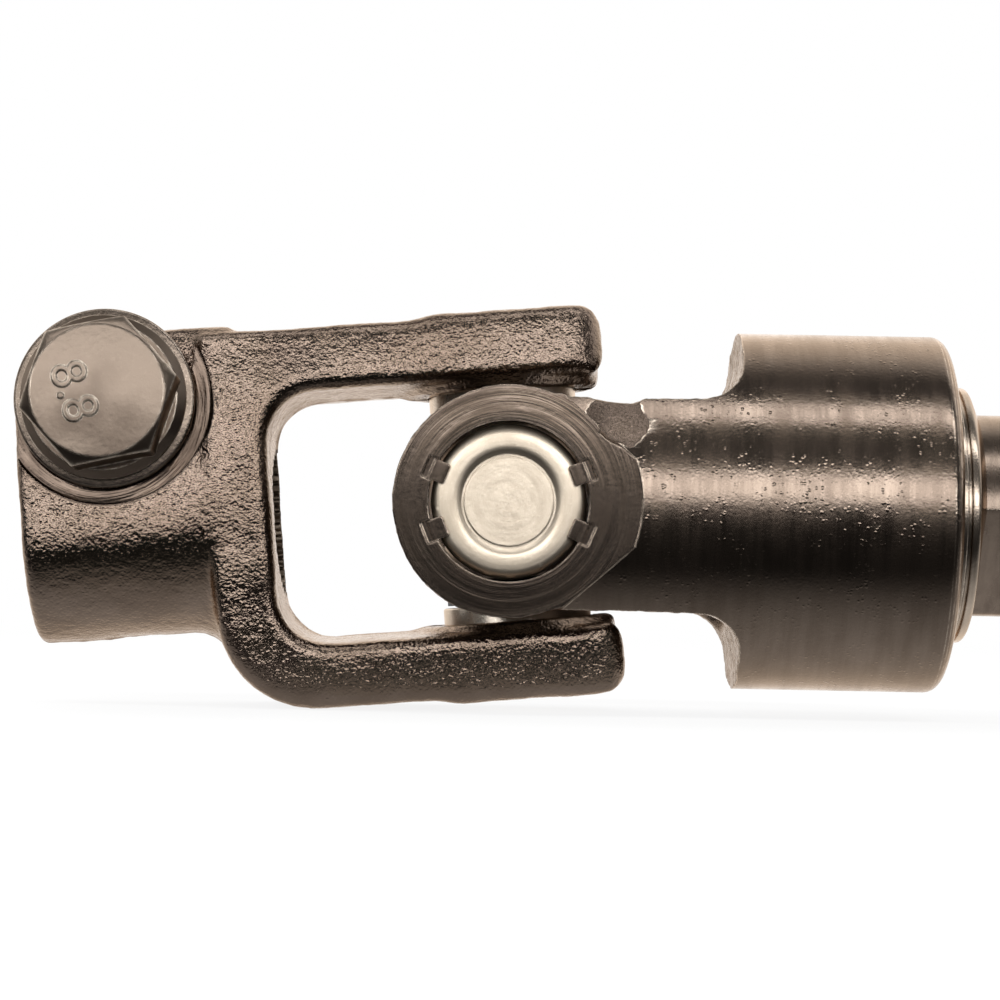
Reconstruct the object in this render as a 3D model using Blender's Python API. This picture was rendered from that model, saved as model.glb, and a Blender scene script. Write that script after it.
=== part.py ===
"""Intermediate steering shaft: clamp yoke, universal joint and rubber isolator at one end,
a telescoping double-D shaft, and a second universal joint with its clamp yoke at the other.

Metres, +Z up. X runs along the shaft, Y through the joint yokes' bearing cups.
Each yoke is drawn about its own joint centre, with its fork open towards +X or -X.
"""

import math

import bmesh
import bpy
from mathutils import Matrix, Vector

# Layout
JOINT_SPAN = 0.225  # between the two joint centres
BEND = math.radians(5.1)  # each clamp yoke hangs down by this, about the joint yoke's cups
SWING = math.radians(2.5)  # and turns by this about its own cups
SEAT_GAP = 0.0003  # between pieces that touch
CUT_MARGIN = 0.004  # how far a cutter runs past what it cuts

# Bearings: cup, needles and seal on each trunnion of the cross
TRUNNION_RADIUS = 0.0056
TRUNNION_CHAMFER = 0.0005
NEEDLE_DIAMETER = 0.0013
NEEDLE_RELIEF = 0.00035  # how deep the ring of needles is fluted
NEEDLE_LOBES = 16
CUP_WALL = 0.0020
CUP_RADIUS = TRUNNION_RADIUS + NEEDLE_DIAMETER + CUP_WALL + 2 * SEAT_GAP
CUP_LENGTH = 0.0091
CUP_FLOOR = 0.0019
CUP_ROUND = 0.0012
CUP_DISH_RIM = 0.0036  # width of the flat rim round the dish
CUP_DISH_RADIUS = CUP_RADIUS - CUP_DISH_RIM
CUP_DISH_DEPTH = 0.00035
SEAL_SHY = 0.0002  # a seal is this much smaller in radius than its cup
SEAL_RADIUS = CUP_RADIUS - SEAL_SHY
SEAL_LENGTH = 0.0033
CROSS_SHOULDER = SEAL_RADIUS  # joint centre to the face under a seal
CROSS_SHOULDER_INSET = 0.0005
CROSS_SHOULDER_RADIUS = CROSS_SHOULDER - CROSS_SHOULDER_INSET
CUP_FACE = CROSS_SHOULDER + SEAL_LENGTH + CUP_LENGTH  # joint centre to a cup's outer face

# Joint yokes: arms with an eye and a spot face
CUP_SINK = 0.00068  # a cup lies this deep in its eye
EYE_FACE = CUP_FACE + CUP_SINK  # joint centre to the spot face
SPOT_FACE_DEPTH = 0.00062
BARREL_RADIUS = EYE_FACE + SPOT_FACE_DEPTH  # arms and isolator housing are turned to this
EYE_WALL = 0.0047
EYE_RADIUS = CUP_RADIUS + EYE_WALL
SPOT_FACE_MARGIN = 0.0021
SPOT_FACE_RADIUS = EYE_RADIUS + SPOT_FACE_MARGIN
EYE_BULGE = 0.0011  # the eye is this much wider than its arm, each side
ARM_HALF_WIDTH = EYE_RADIUS - EYE_BULGE
ARM_THICKNESS = 0.00788
ARM_GAP = EYE_FACE - ARM_THICKNESS  # joint centre to an arm's inner face
ARM_FILLET = 0.0055
ARM_RELIEF_DEPTH = 0.0026  # bevel along an arm's inner edges, clear of the other yoke's ears
ARM_RELIEF_HEIGHT = 0.0030

# Clamp yokes: fork
FORK_CLEARANCE = 0.0005  # to the joint yoke's arms and eyes
FORK_HALF_WIDTH = ARM_GAP - FORK_CLEARANCE
EAR_DEPTH = 0.0023  # a cup lies this deep below its arm's face
FORK_FACE = CUP_FACE + EAR_DEPTH  # joint centre to an arm's outer face
EAR_BOSS_HEIGHT = 0.0006
EAR_FACE = FORK_FACE + EAR_BOSS_HEIGHT
EAR_END_WALL = 0.0033
EAR_END = CUP_RADIUS + EAR_END_WALL
EAR_BOSS_WALL = 0.0015
EAR_BOSS_START = CUP_RADIUS + EAR_BOSS_WALL
EAR_BOSS_RAMP = 0.0030
EAR_CORNER = 0.0030
EAR_MOUTH_ROUND = 0.0030  # where an arm's inner face meets the ear's end
EAR_PLAN_ROUND = 0.0045
EAR_PAD_WALL = 0.0030
EAR_PAD_RADIUS = CUP_RADIUS + EAR_PAD_WALL
EAR_PAD_FACE = EYE_RADIUS + FORK_CLEARANCE
EAR_PAD_HEIGHT = 0.0005
WINDOW_HALF_HEIGHT = EAR_PAD_FACE + EAR_PAD_HEIGHT  # at the parting plane
WINDOW_CLEARANCE = 0.0066  # past the joint yoke's barrel, so that its eyes can swing
WINDOW_DEPTH = BARREL_RADIUS + WINDOW_CLEARANCE
WINDOW_CORNER = 0.0060
FORGING_DRAFT = 0.05  # slope of the window's walls
BRIDGE_THICKNESS = 0.0084
BRIDGE_BACK = WINDOW_DEPTH + BRIDGE_THICKNESS
ELBOW_RADIUS = 0.0125
FORK_EDGE_ROUND = 0.0016

# Joint yokes: where the arms end, clear of the other yoke's ears
ROOT_CLEARANCE = 0.0044
ARM_ROOT = EAR_FACE + ROOT_CLEARANCE  # joint centre to the barrel's shoulder
CROTCH_STEP = 0.0005  # the crotch stands this far in front of the shoulder
CROTCH_FILLET = 0.0030

# Double-D slip tube, the bush in its mouth and the shaft that slides in them
FLAT_TURN = math.radians(38)  # the flats face this far below the joint yoke's cups
TUBE_RADIUS = 0.0130
TUBE_FLAT_DEPTH = 0.0030
TUBE_FLAT = TUBE_RADIUS - TUBE_FLAT_DEPTH  # axis to flat
TUBE_WALL = 0.0022
BUSH_WALL = 0.0008
BUSH_LENGTH = 0.0310
BUSH_INSET = 0.0010
SLIDER_RADIUS = TUBE_RADIUS - TUBE_WALL - BUSH_WALL - 2 * SEAT_GAP
SLIDER_FLAT = TUBE_FLAT - TUBE_WALL - BUSH_WALL - 2 * SEAT_GAP
SLIDER_ENGAGED = 0.0620  # how much of the shaft sits in the tube
SHAFT_BARE = 0.0250  # and how much shows between the tube and the far yoke
CAP_WALL = 0.0020
CAP_RADIUS = TUBE_RADIUS + CAP_WALL
CAP_OVERLAP = 0.0060
CAP_LIP = 0.0035
CAP_ROUND = 0.0012

# Isolator housing at the near joint yoke, with the sleeve and rubber in it
HOUSING_WALL = 0.0040
HOUSING_BORE_RADIUS = BARREL_RADIUS - HOUSING_WALL
HOUSING_FLOOR_THICKNESS = 0.0050
HOUSING_FLOOR = ARM_ROOT + HOUSING_FLOOR_THICKNESS
HOUSING_LENGTH = 0.0215  # floor of the bore to the rim
HOUSING_END = HOUSING_FLOOR + HOUSING_LENGTH
HOUSING_ROUND = 0.0018
LIP_WIDTH = 0.0021
LIP_RADIUS = HOUSING_BORE_RADIUS - LIP_WIDTH
LIP_LENGTH = 0.0015
SLEEVE_WALL = 0.0013
SLEEVE_RADIUS = TUBE_RADIUS + SLEEVE_WALL
RUBBER_GROOVE_DEPTH = 0.0010
RUBBER_GROOVE_LENGTH = 0.0030
TUBE_END_GAP = 0.0025
TUBE_START = HOUSING_FLOOR + TUBE_END_GAP
RING_CLEARANCE = 0.0004  # inside the housing's lip
RING_RADIUS = LIP_RADIUS - RING_CLEARANCE
RING_BAND = 0.0025  # length of the ring's cylindrical band outside the housing
RING_GROOVE_DEPTH = 0.0005
RING_GROOVE_LENGTH = 0.0006
RING_TAPER = 0.0012

# Far joint yoke's hub and spring pin
FAR_FLANGE = 0.0040
FAR_TAPER = 0.0050
FAR_HUB_WALL = 0.0071
FAR_HUB_RADIUS = SLIDER_RADIUS + FAR_HUB_WALL
FAR_HUB_CHAMFER = 0.0010
SOCKET_FLOOR_THICKNESS = 0.0020
SOCKET_FLOOR = ARM_ROOT + SOCKET_FLOOR_THICKNESS  # joint centre to the end of the sliding shaft
PIN_RADIUS = 0.0025
PIN_BORE_RADIUS = 0.0010
PIN_PROUD = 0.0004
PIN_SETBACK = 0.0030
PIN_PLACE = ARM_ROOT + FAR_FLANGE + FAR_TAPER + PIN_SETBACK
PIN_END_WALL = 0.0065
FAR_HUB_END = PIN_PLACE + PIN_RADIUS + PIN_END_WALL
TUBE_MOUTH = JOINT_SPAN - FAR_HUB_END - SHAFT_BARE
SLIDER_START = TUBE_MOUTH - SLIDER_ENGAGED

# Clamp yokes: hub, slit and pinch bolt
HUB_BORE_RADIUS = 0.0095
HUB_WALL = 0.0039
HUB_RADIUS = HUB_BORE_RADIUS + HUB_WALL
HUB_LENGTH = 0.0235  # past the bridge
HUB_END = BRIDGE_BACK + HUB_LENGTH
HUB_EDGE_ROUND = 0.0009
HEAD_ACROSS_FLATS = 0.0170
HEAD_HEIGHT = 0.0057
HEAD_CHAMFER_INSET = 0.00035
HEAD_CHAMFER_RADIUS = HEAD_ACROSS_FLATS / 2 - HEAD_CHAMFER_INSET
HEAD_TURN = math.radians(7.5)
FLANGE_REACH = 0.0018  # past the head's flats
FLANGE_RADIUS = HEAD_ACROSS_FLATS / 2 + FLANGE_REACH
FLANGE_THICKNESS = 0.0014
WASHER_REACH = 0.00095
WASHER_RADIUS = FLANGE_RADIUS + WASHER_REACH
WASHER_THICKNESS = 0.0012
BOLT_SEAT_MARGIN = 0.00205
BOLT_SEAT_RADIUS = WASHER_RADIUS + BOLT_SEAT_MARGIN
BOLT_SEAT_DEPTH = 0.0009
BOLT_SEAT = HUB_RADIUS - BOLT_SEAT_DEPTH  # hub's axis to the spot face under the washer
BOLT_RADIUS = 0.0050
BOLT_SETBACK = 0.0120  # bridge to the bolt's axis
BOLT_PLACE = BRIDGE_BACK + BOLT_SETBACK
BOLT_CLEARANCE = 0.0014  # between the hub's bore and the bolt
BOLT_HEIGHT = HUB_BORE_RADIUS + BOLT_CLEARANCE + BOLT_RADIUS
BOLT_EXTRA = 0.0011
BOLT_LENGTH = BOLT_SEAT + HUB_RADIUS + BOLT_EXTRA  # under the head
BOLT_TIP_CHAMFER = 0.0010
LUG_WALL = 0.0035
LUG_TOP = BOLT_HEIGHT + BOLT_RADIUS + LUG_WALL
LUG_ROUND = 0.0085
LUG_EDGE = 0.0025
CLAMP_TURN = math.radians(3)  # the bolt's head end is turned up by this about the hub
SLIT_WIDTH = 0.0030
SLIT_SETBACK = 0.0010  # bridge to the slit's end
SLIT_START = BRIDGE_BACK + SLIT_SETBACK

# Facets
BARREL_SEGMENTS = 40
CUP_SEGMENTS = 24
SMALL_SEGMENTS = 16
ARC_STEP = math.radians(18)
CUP_ROUND_STEPS = 2
SMOOTH_ANGLE = math.radians(35)

# Colours from the photograph: base colour, metallic, roughness
BLACK_PAINT = ("black_paint", (0.035, 0.028, 0.022), 0.2, 0.45)
BLACK_OXIDE = ("black_oxide", (0.045, 0.034, 0.026), 0.6, 0.38)
BRIGHT_STEEL = ("bright_steel", (0.68, 0.60, 0.50), 1.0, 0.30)
BROWN_STEEL = ("brown_steel", (0.16, 0.12, 0.09), 0.9, 0.40)
DARK_RUBBER = ("dark_rubber", (0.02, 0.02, 0.02), 0.0, 0.70)
PALE_NYLON = ("pale_nylon", (0.75, 0.72, 0.62), 0.0, 0.50)

AXES = "XYZ"


def clear_scene():
    for obj in list(bpy.data.objects):
        bpy.data.objects.remove(obj)


def material(surface):
    """The material of this name, made on its first use."""
    name, colour, metallic, roughness = surface
    made = bpy.data.materials.get(name)
    if made:
        return made
    made = bpy.data.materials.new(name)
    made.use_nodes = True
    made.diffuse_color = (*colour, 1.0)
    shader = made.node_tree.nodes["Principled BSDF"]
    shader.inputs["Base Color"].default_value = (*colour, 1.0)
    shader.inputs["Metallic"].default_value = metallic
    shader.inputs["Roughness"].default_value = roughness
    return made


def empty(name, parent=None, location=(0, 0, 0), rotation=(0, 0, 0)):
    made = bpy.data.objects.new(name, None)
    made.empty_display_size = 0.01
    made.location = location
    made.rotation_euler = rotation
    made.parent = parent
    bpy.context.scene.collection.objects.link(made)
    return made


def object_from(name, bm, parent):
    bmesh.ops.recalc_face_normals(bm, faces=bm.faces)
    mesh = bpy.data.meshes.new(name)
    bm.to_mesh(mesh)
    bm.free()
    made = bpy.data.objects.new(name, mesh)
    made.parent = parent
    bpy.context.scene.collection.objects.link(made)
    return made


def part(name, bm, parent, surface):
    made = object_from(name, bm, parent)
    made.data.shade_smooth()
    made.data.set_sharp_from_angle(angle=SMOOTH_ANGLE)
    made.data.materials.append(material(surface))
    return made


def boolean(target, operation, name, bm):
    """Joins or cuts target with a helper that has the same parent."""
    tool = object_from(f"{target.name}_{name}", bm, target.parent)
    tool.hide_render = True
    tool.display_type = "WIRE"
    modifier = target.modifiers.new(name, "BOOLEAN")
    modifier.operation = operation
    modifier.object = tool


def placed(axis, a, b, along):
    """A point at (a, b) in the plane across axis: (y, z), (x, z) or (x, y)."""
    point = [a, b]
    point.insert(AXES.index(axis), along)
    return Vector(point)


def arc(centre, radius, start, end, steps=0):
    """Points on an arc, both ends included."""
    steps = steps or max(1, math.ceil(abs(end - start) / ARC_STEP))
    angles = [start + (end - start) * i / steps for i in range(steps + 1)]
    return [(centre[0] + radius * math.cos(a), centre[1] + radius * math.sin(a)) for a in angles]


def circle(radius, segments, centre=(0, 0)):
    angles = [2 * math.pi * i / segments for i in range(segments)]
    return [(centre[0] + radius * math.cos(a), centre[1] + radius * math.sin(a)) for a in angles]


def rounded(corners):
    """A closed outline through corners (a, b, radius), each radius as an arc."""
    outline = []
    for index, (a, b, radius) in enumerate(corners):
        corner = Vector((a, b))
        if not radius:
            outline.append((a, b))
            continue
        back = (Vector(corners[index - 1][:2]) - corner).normalized()
        ahead = (Vector(corners[(index + 1) % len(corners)][:2]) - corner).normalized()
        half = back.angle(ahead) / 2
        centre = corner + (back + ahead).normalized() * radius / math.sin(half)
        first = corner + back * radius / math.tan(half) - centre
        last = corner + ahead * radius / math.tan(half) - centre
        turn = math.copysign(math.pi - 2 * half, first.x * last.y - first.y * last.x)
        start = math.atan2(first.y, first.x)
        for point in arc(centre, radius, start, start + turn):
            if not outline or (Vector(point) - Vector(outline[-1])).length > 1e-6:
                outline.append(point)
    return outline


def double_d(radius, flat):
    """Outline across X of a bar with two flats, turned as the slip tube's."""
    reach = math.acos(flat / radius)
    facing = math.pi + FLAT_TURN
    first = arc((0, 0), radius, facing + reach, facing + math.pi - reach)
    return first + [(-a, -b) for a, b in first]


def loft(bm, rings):
    """A closed solid through rings of points, with a flat cap at each end."""
    loops = [[bm.verts.new(point) for point in ring] for ring in rings]
    count = len(loops[0])
    for low, high in zip(loops, loops[1:]):
        for i in range(count):
            j = (i + 1) % count
            bm.faces.new((low[i], low[j], high[j], high[i]))
    bm.faces.new(loops[0][::-1])
    bm.faces.new(loops[-1])


def prism(bm, outline, axis, low, high):
    """The outline extruded along axis, from low to high."""
    face = bm.faces.new([bm.verts.new(placed(axis, a, b, low)) for a, b in outline])
    pushed = bmesh.ops.extrude_face_region(bm, geom=[face])
    verts = [v for v in pushed["geom"] if isinstance(v, bmesh.types.BMVert)]
    bmesh.ops.translate(bm, verts=verts, vec=placed(axis, 0, 0, high - low))


def turned(bm, profile, axis, segments, ring=False):
    """A profile of (radius, place along axis) spun round; a ring's profile closes on itself."""
    side = "Y" if axis == "X" else "X"
    verts = []
    for radius, along in profile:
        point = [0, 0, 0]
        point[AXES.index(axis)] = along
        point[AXES.index(side)] = radius
        verts.append(bm.verts.new(point))
    edges = [bm.edges.new(pair) for pair in zip(verts, verts[1:])]
    if ring:
        edges.append(bm.edges.new((verts[-1], verts[0])))
    turn = [0, 0, 0]
    turn[AXES.index(axis)] = 1
    bmesh.ops.spin(bm, geom=verts + edges, cent=(0, 0, 0), axis=turn, angle=2 * math.pi,
                   steps=segments, use_merge=True)
    bmesh.ops.remove_doubles(bm, verts=bm.verts, dist=1e-7)
    bmesh.ops.dissolve_degenerate(bm, edges=bm.edges, dist=1e-8)


def bar(bm, radius, axis, low, high, segments, centre=(0, 0)):
    """A round bar along axis, whose axis passes centre."""
    prism(bm, circle(radius, segments, centre), axis, low, high)


def round_rims(bm, axis, along, offset, segments):
    """Rounds the edges that lie in the plane at this place along axis."""
    index = AXES.index(axis)
    rims = [e for e in bm.edges if all(abs(v.co[index] - along) < 1e-6 for v in e.verts)]
    bmesh.ops.bevel(bm, geom=rims, offset=offset, segments=segments, profile=0.5, affect="EDGES")


def joint_yoke(name, parent, profile):
    """Two arms with spot-faced eyes on a barrel turned to the profile. The fork opens towards -X."""
    bm = bmesh.new()
    turned(bm, profile, "X", BARREL_SEGMENTS)
    yoke = part(name, bm, parent, BLACK_OXIDE)

    corner_height = math.sqrt(BARREL_RADIUS**2 - EYE_FACE**2)
    reach = SPOT_FACE_RADIUS - SEAT_GAP / 2
    corner = Vector((math.sqrt(reach**2 - corner_height**2), corner_height))
    touch_angle = math.atan2(corner.y, corner.x) + math.acos(EYE_RADIUS / reach)
    touch = Vector((math.cos(touch_angle), math.sin(touch_angle))) * EYE_RADIUS
    beyond = touch + (touch - corner)
    back = EYE_RADIUS + CUT_MARGIN
    boss = [corner, beyond, (-back, back), (-back, -back), (beyond.x, -beyond.y), (corner.x, -corner.y)]
    proud = BARREL_RADIUS + SEAT_GAP
    bm = bmesh.new()
    prism(bm, boss, "Y", -proud, proud)
    boolean(yoke, "UNION", "bosses", bm)

    far = BARREL_RADIUS + CUT_MARGIN
    fillet = (ARM_ROOT - ARM_FILLET, ARM_HALF_WIDTH + ARM_FILLET)
    eye = math.asin(ARM_HALF_WIDTH / EYE_RADIUS)
    outline = [(ARM_ROOT, far), (-far, far), (-far, -far), (ARM_ROOT, -far)]
    outline += arc((fillet[0], -fillet[1]), ARM_FILLET, 0, math.pi / 2)
    outline += arc((0, 0), EYE_RADIUS, -eye, eye - 2 * math.pi)
    outline += arc(fillet, ARM_FILLET, -math.pi / 2, 0)
    bm = bmesh.new()
    prism(bm, outline, "Y", -far, far)
    boolean(yoke, "DIFFERENCE", "sides", bm)

    crotch = ARM_ROOT - CROTCH_STEP
    slot = [(-far, -ARM_GAP, 0), (crotch, -ARM_GAP, CROTCH_FILLET), (crotch, ARM_GAP, CROTCH_FILLET),
            (-far, ARM_GAP, 0)]
    bm = bmesh.new()
    prism(bm, rounded(slot), "Z", -far, far)
    boolean(yoke, "DIFFERENCE", "slot", bm)

    low = Vector((ARM_GAP, ARM_HALF_WIDTH - ARM_RELIEF_HEIGHT))
    high = Vector((ARM_GAP + ARM_RELIEF_DEPTH, ARM_HALF_WIDTH))
    run = (high - low) / 2
    bevel = [low - run, high + run, Vector((low.x - run.x, high.y + run.y))]
    bm = bmesh.new()
    for side in (-1, 1):
        for end in (-1, 1):
            prism(bm, [(side * p.x, end * p.y) for p in bevel], "X", -far, ARM_ROOT - ARM_FILLET)
    boolean(yoke, "DIFFERENCE", "relief", bm)

    bm = bmesh.new()
    bar(bm, CUP_RADIUS + SEAT_GAP, "Y", -far, far, CUP_SEGMENTS)
    boolean(yoke, "DIFFERENCE", "cup_bore", bm)

    bm = bmesh.new()
    for low, high in ((-far, -EYE_FACE), (EYE_FACE, far)):
        bar(bm, SPOT_FACE_RADIUS, "Y", low, high, BARREL_SEGMENTS)
    boolean(yoke, "DIFFERENCE", "spot_faces", bm)
    return yoke


def isolator_yoke(parent):
    """The near joint yoke, whose barrel is the cup that holds the rubber isolator."""
    rim = HOUSING_END - HOUSING_ROUND
    profile = [(0, -EYE_RADIUS - CUT_MARGIN), (BARREL_RADIUS, -EYE_RADIUS - CUT_MARGIN)]
    profile += arc((BARREL_RADIUS - HOUSING_ROUND, rim), HOUSING_ROUND, 0, math.pi / 2)
    profile += [(LIP_RADIUS, HOUSING_END), (LIP_RADIUS, HOUSING_END - LIP_LENGTH)]
    profile += [(HOUSING_BORE_RADIUS, HOUSING_END - LIP_LENGTH), (HOUSING_BORE_RADIUS, HOUSING_FLOOR)]
    profile.append((0, HOUSING_FLOOR))
    joint_yoke("joint_yoke", parent, profile)


def far_yoke(parent):
    """The far joint yoke, whose hub takes the sliding shaft and its spring pin."""
    shoulder = ARM_ROOT + FAR_FLANGE
    profile = [(0, -EYE_RADIUS - CUT_MARGIN), (BARREL_RADIUS, -EYE_RADIUS - CUT_MARGIN)]
    profile += [(BARREL_RADIUS, shoulder), (FAR_HUB_RADIUS, shoulder + FAR_TAPER)]
    profile += [(FAR_HUB_RADIUS, FAR_HUB_END - FAR_HUB_CHAMFER)]
    profile += [(FAR_HUB_RADIUS - FAR_HUB_CHAMFER, FAR_HUB_END), (0, FAR_HUB_END)]
    yoke = joint_yoke("far_joint_yoke", parent, profile)
    bm = bmesh.new()
    socket = [(-a, b) for a, b in double_d(SLIDER_RADIUS + SEAT_GAP, SLIDER_FLAT + SEAT_GAP)]
    prism(bm, socket, "X", ARM_ROOT - CUT_MARGIN, FAR_HUB_END + CUT_MARGIN)
    boolean(yoke, "DIFFERENCE", "socket", bm)
    bm = bmesh.new()
    reach = FAR_HUB_RADIUS + CUT_MARGIN
    bar(bm, PIN_RADIUS + SEAT_GAP, "Z", -reach, reach, SMALL_SEGMENTS, (PIN_PLACE, 0))
    boolean(yoke, "DIFFERENCE", "pin_hole", bm)

    bm = bmesh.new()
    long_end = FAR_HUB_RADIUS + PIN_PROUD
    wall = [(PIN_RADIUS, -long_end), (PIN_RADIUS, long_end), (PIN_BORE_RADIUS, long_end)]
    wall.append((PIN_BORE_RADIUS, -long_end))
    turned(bm, wall, "Z", SMALL_SEGMENTS, ring=True)
    pin = part("yoke_spring_pin", bm, parent, BROWN_STEEL)
    pin.location = (PIN_PLACE, 0, 0)


def cross(name, parent):
    """Two turned trunnion bars joined at the joint centre."""
    tip = CUP_FACE - CUP_FLOOR - SEAT_GAP
    half = [(0, tip), (TRUNNION_RADIUS - TRUNNION_CHAMFER, tip), (TRUNNION_RADIUS, tip - TRUNNION_CHAMFER)]
    half += [(TRUNNION_RADIUS, CROSS_SHOULDER), (CROSS_SHOULDER_RADIUS, CROSS_SHOULDER)]
    profile = half + [(radius, -along) for radius, along in reversed(half)]
    bm = bmesh.new()
    turned(bm, profile, "Y", SMALL_SEGMENTS)
    made = part(name, bm, parent, BRIGHT_STEEL)
    bm = bmesh.new()
    turned(bm, profile, "Z", SMALL_SEGMENTS)
    boolean(made, "UNION", "bar", bm)


def bearing(name, parent, rotation):
    """A cup with its needles and its seal, drawn along +Z and turned to its place."""
    mouth = CUP_FACE - CUP_LENGTH
    floor = CUP_FACE - CUP_FLOOR
    needle_outer = TRUNNION_RADIUS + SEAT_GAP + NEEDLE_DIAMETER
    bore = needle_outer + SEAT_GAP
    profile = [(0, CUP_FACE - CUP_DISH_DEPTH), (CUP_DISH_RADIUS - CUP_DISH_DEPTH, CUP_FACE - CUP_DISH_DEPTH)]
    profile.append((CUP_DISH_RADIUS, CUP_FACE))
    round_centre = (CUP_RADIUS - CUP_ROUND, CUP_FACE - CUP_ROUND)
    profile += arc(round_centre, CUP_ROUND, math.pi / 2, 0, CUP_ROUND_STEPS)
    profile += [(CUP_RADIUS, mouth), (bore, mouth), (bore, floor), (0, floor)]
    bm = bmesh.new()
    turned(bm, profile, "Z", CUP_SEGMENTS)
    part(f"{name}_cup", bm, parent, BRIGHT_STEEL).rotation_euler = rotation

    seal_low = CROSS_SHOULDER + SEAT_GAP
    needle_low = mouth + SEAT_GAP
    needle_high = floor - SEAT_GAP
    points = 2 * NEEDLE_LOBES
    outer = []
    inner = []
    for i in range(points):
        angle = 2 * math.pi * i / points
        dip = 0 if i % 2 else NEEDLE_RELIEF
        outer.append(((needle_outer - dip) * math.cos(angle), (needle_outer - dip) * math.sin(angle)))
        low = needle_outer - NEEDLE_DIAMETER + dip
        inner.append((low * math.cos(angle), low * math.sin(angle)))
    bm = bmesh.new()
    walls = []
    for outline, along in ((inner, needle_low), (outer, needle_low), (outer, needle_high), (inner, needle_high)):
        walls.append([bm.verts.new((a, b, along)) for a, b in outline])
    for low, high in zip(walls, walls[1:] + walls[:1]):
        for i in range(points):
            j = (i + 1) % points
            bm.faces.new((low[i], low[j], high[j], high[i]))
    part(f"{name}_needles", bm, parent, BRIGHT_STEEL).rotation_euler = rotation

    bm = bmesh.new()
    seal_inner = TRUNNION_RADIUS + SEAT_GAP
    seal_high = mouth - SEAT_GAP
    wall = [(seal_inner, seal_low), (SEAL_RADIUS, seal_low), (SEAL_RADIUS, seal_high), (seal_inner, seal_high)]
    turned(bm, wall, "Z", SMALL_SEGMENTS, ring=True)
    part(f"{name}_seal", bm, parent, DARK_RUBBER).rotation_euler = rotation


def bearing_pair(name, parent, along_y):
    """The two bearings of one yoke: along Y in a joint yoke, along Z in a clamp yoke."""
    quarter = math.pi / 2
    if along_y:
        bearing(f"{name}_front", parent, (quarter, 0, 0))
        bearing(f"{name}_back", parent, (-quarter, 0, 0))
    else:
        bearing(f"{name}_top", parent, (0, 0, 0))
        bearing(f"{name}_bottom", parent, (math.pi, 0, 0))


def clamped(bm):
    """Turns helpers drawn upright to the clamp's angle about the hub."""
    bmesh.ops.rotate(bm, verts=bm.verts, cent=(0, 0, 0), matrix=Matrix.Rotation(-CLAMP_TURN, 3, "X"))
    return bm


def fork(name, parent):
    """The forged fork: two arms and the bridge, with its window open towards +X."""
    ramp = EAR_BOSS_START - EAR_BOSS_RAMP
    outline = rounded([
        (EAR_END, EAR_FACE, EAR_CORNER), (-ramp, EAR_FACE, EAR_CORNER), (-EAR_BOSS_START, FORK_FACE, EAR_CORNER),
        (-BRIDGE_BACK, FORK_FACE, 0), (-BRIDGE_BACK, -FORK_FACE, ELBOW_RADIUS),
        (-EAR_BOSS_START, -FORK_FACE, EAR_CORNER), (-ramp, -EAR_FACE, EAR_CORNER), (EAR_END, -EAR_FACE, EAR_CORNER),
    ])
    bm = bmesh.new()
    prism(bm, outline, "Y", -FORK_HALF_WIDTH, FORK_HALF_WIDTH)
    for side in (-FORK_HALF_WIDTH, FORK_HALF_WIDTH):
        round_rims(bm, "Y", side, FORK_EDGE_ROUND, 2)
    made = part(name, bm, parent, BLACK_PAINT)

    reach = FORK_HALF_WIDTH + CUT_MARGIN
    rings = []
    for along in (-reach, 0, reach):
        spread = abs(along) * FORGING_DRAFT
        height = WINDOW_HALF_HEIGHT + spread
        depth = WINDOW_DEPTH + spread
        mouth = height + EAR_MOUTH_ROUND
        window = rounded([
            (EAR_END + CUT_MARGIN, mouth, 0), (EAR_END, mouth, 0), (EAR_END, height, EAR_MOUTH_ROUND),
            (-depth, height, WINDOW_CORNER), (-depth, -height, WINDOW_CORNER),
            (EAR_END, -height, EAR_MOUTH_ROUND), (EAR_END, -mouth, 0), (EAR_END + CUT_MARGIN, -mouth, 0),
        ])
        rings.append([placed("Y", a, b, along) for a, b in window])
    bm = bmesh.new()
    loft(bm, rings)
    boolean(made, "DIFFERENCE", "window", bm)

    bm = bmesh.new()
    into_arm = (EAR_PAD_FACE + EAR_FACE) / 2
    for low, high in ((-into_arm, -EAR_PAD_FACE), (EAR_PAD_FACE, into_arm)):
        bar(bm, EAR_PAD_RADIUS, "Z", low, high, CUP_SEGMENTS)
    boolean(made, "UNION", "ear_pads", bm)

    bm = bmesh.new()
    far = (EAR_END + CUT_MARGIN, FORK_HALF_WIDTH + CUT_MARGIN)
    centre = (EAR_END - EAR_PLAN_ROUND, FORK_HALF_WIDTH - EAR_PLAN_ROUND)
    corner = arc(centre, EAR_PLAN_ROUND, 0, math.pi / 2) + [(centre[0], far[1]), far, (far[0], centre[1])]
    for side in (-1, 1):
        prism(bm, [(a, side * b) for a, b in corner], "Z", -EAR_FACE - CUT_MARGIN, EAR_FACE + CUT_MARGIN)
    boolean(made, "DIFFERENCE", "ear_corners", bm)
    return made


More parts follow.
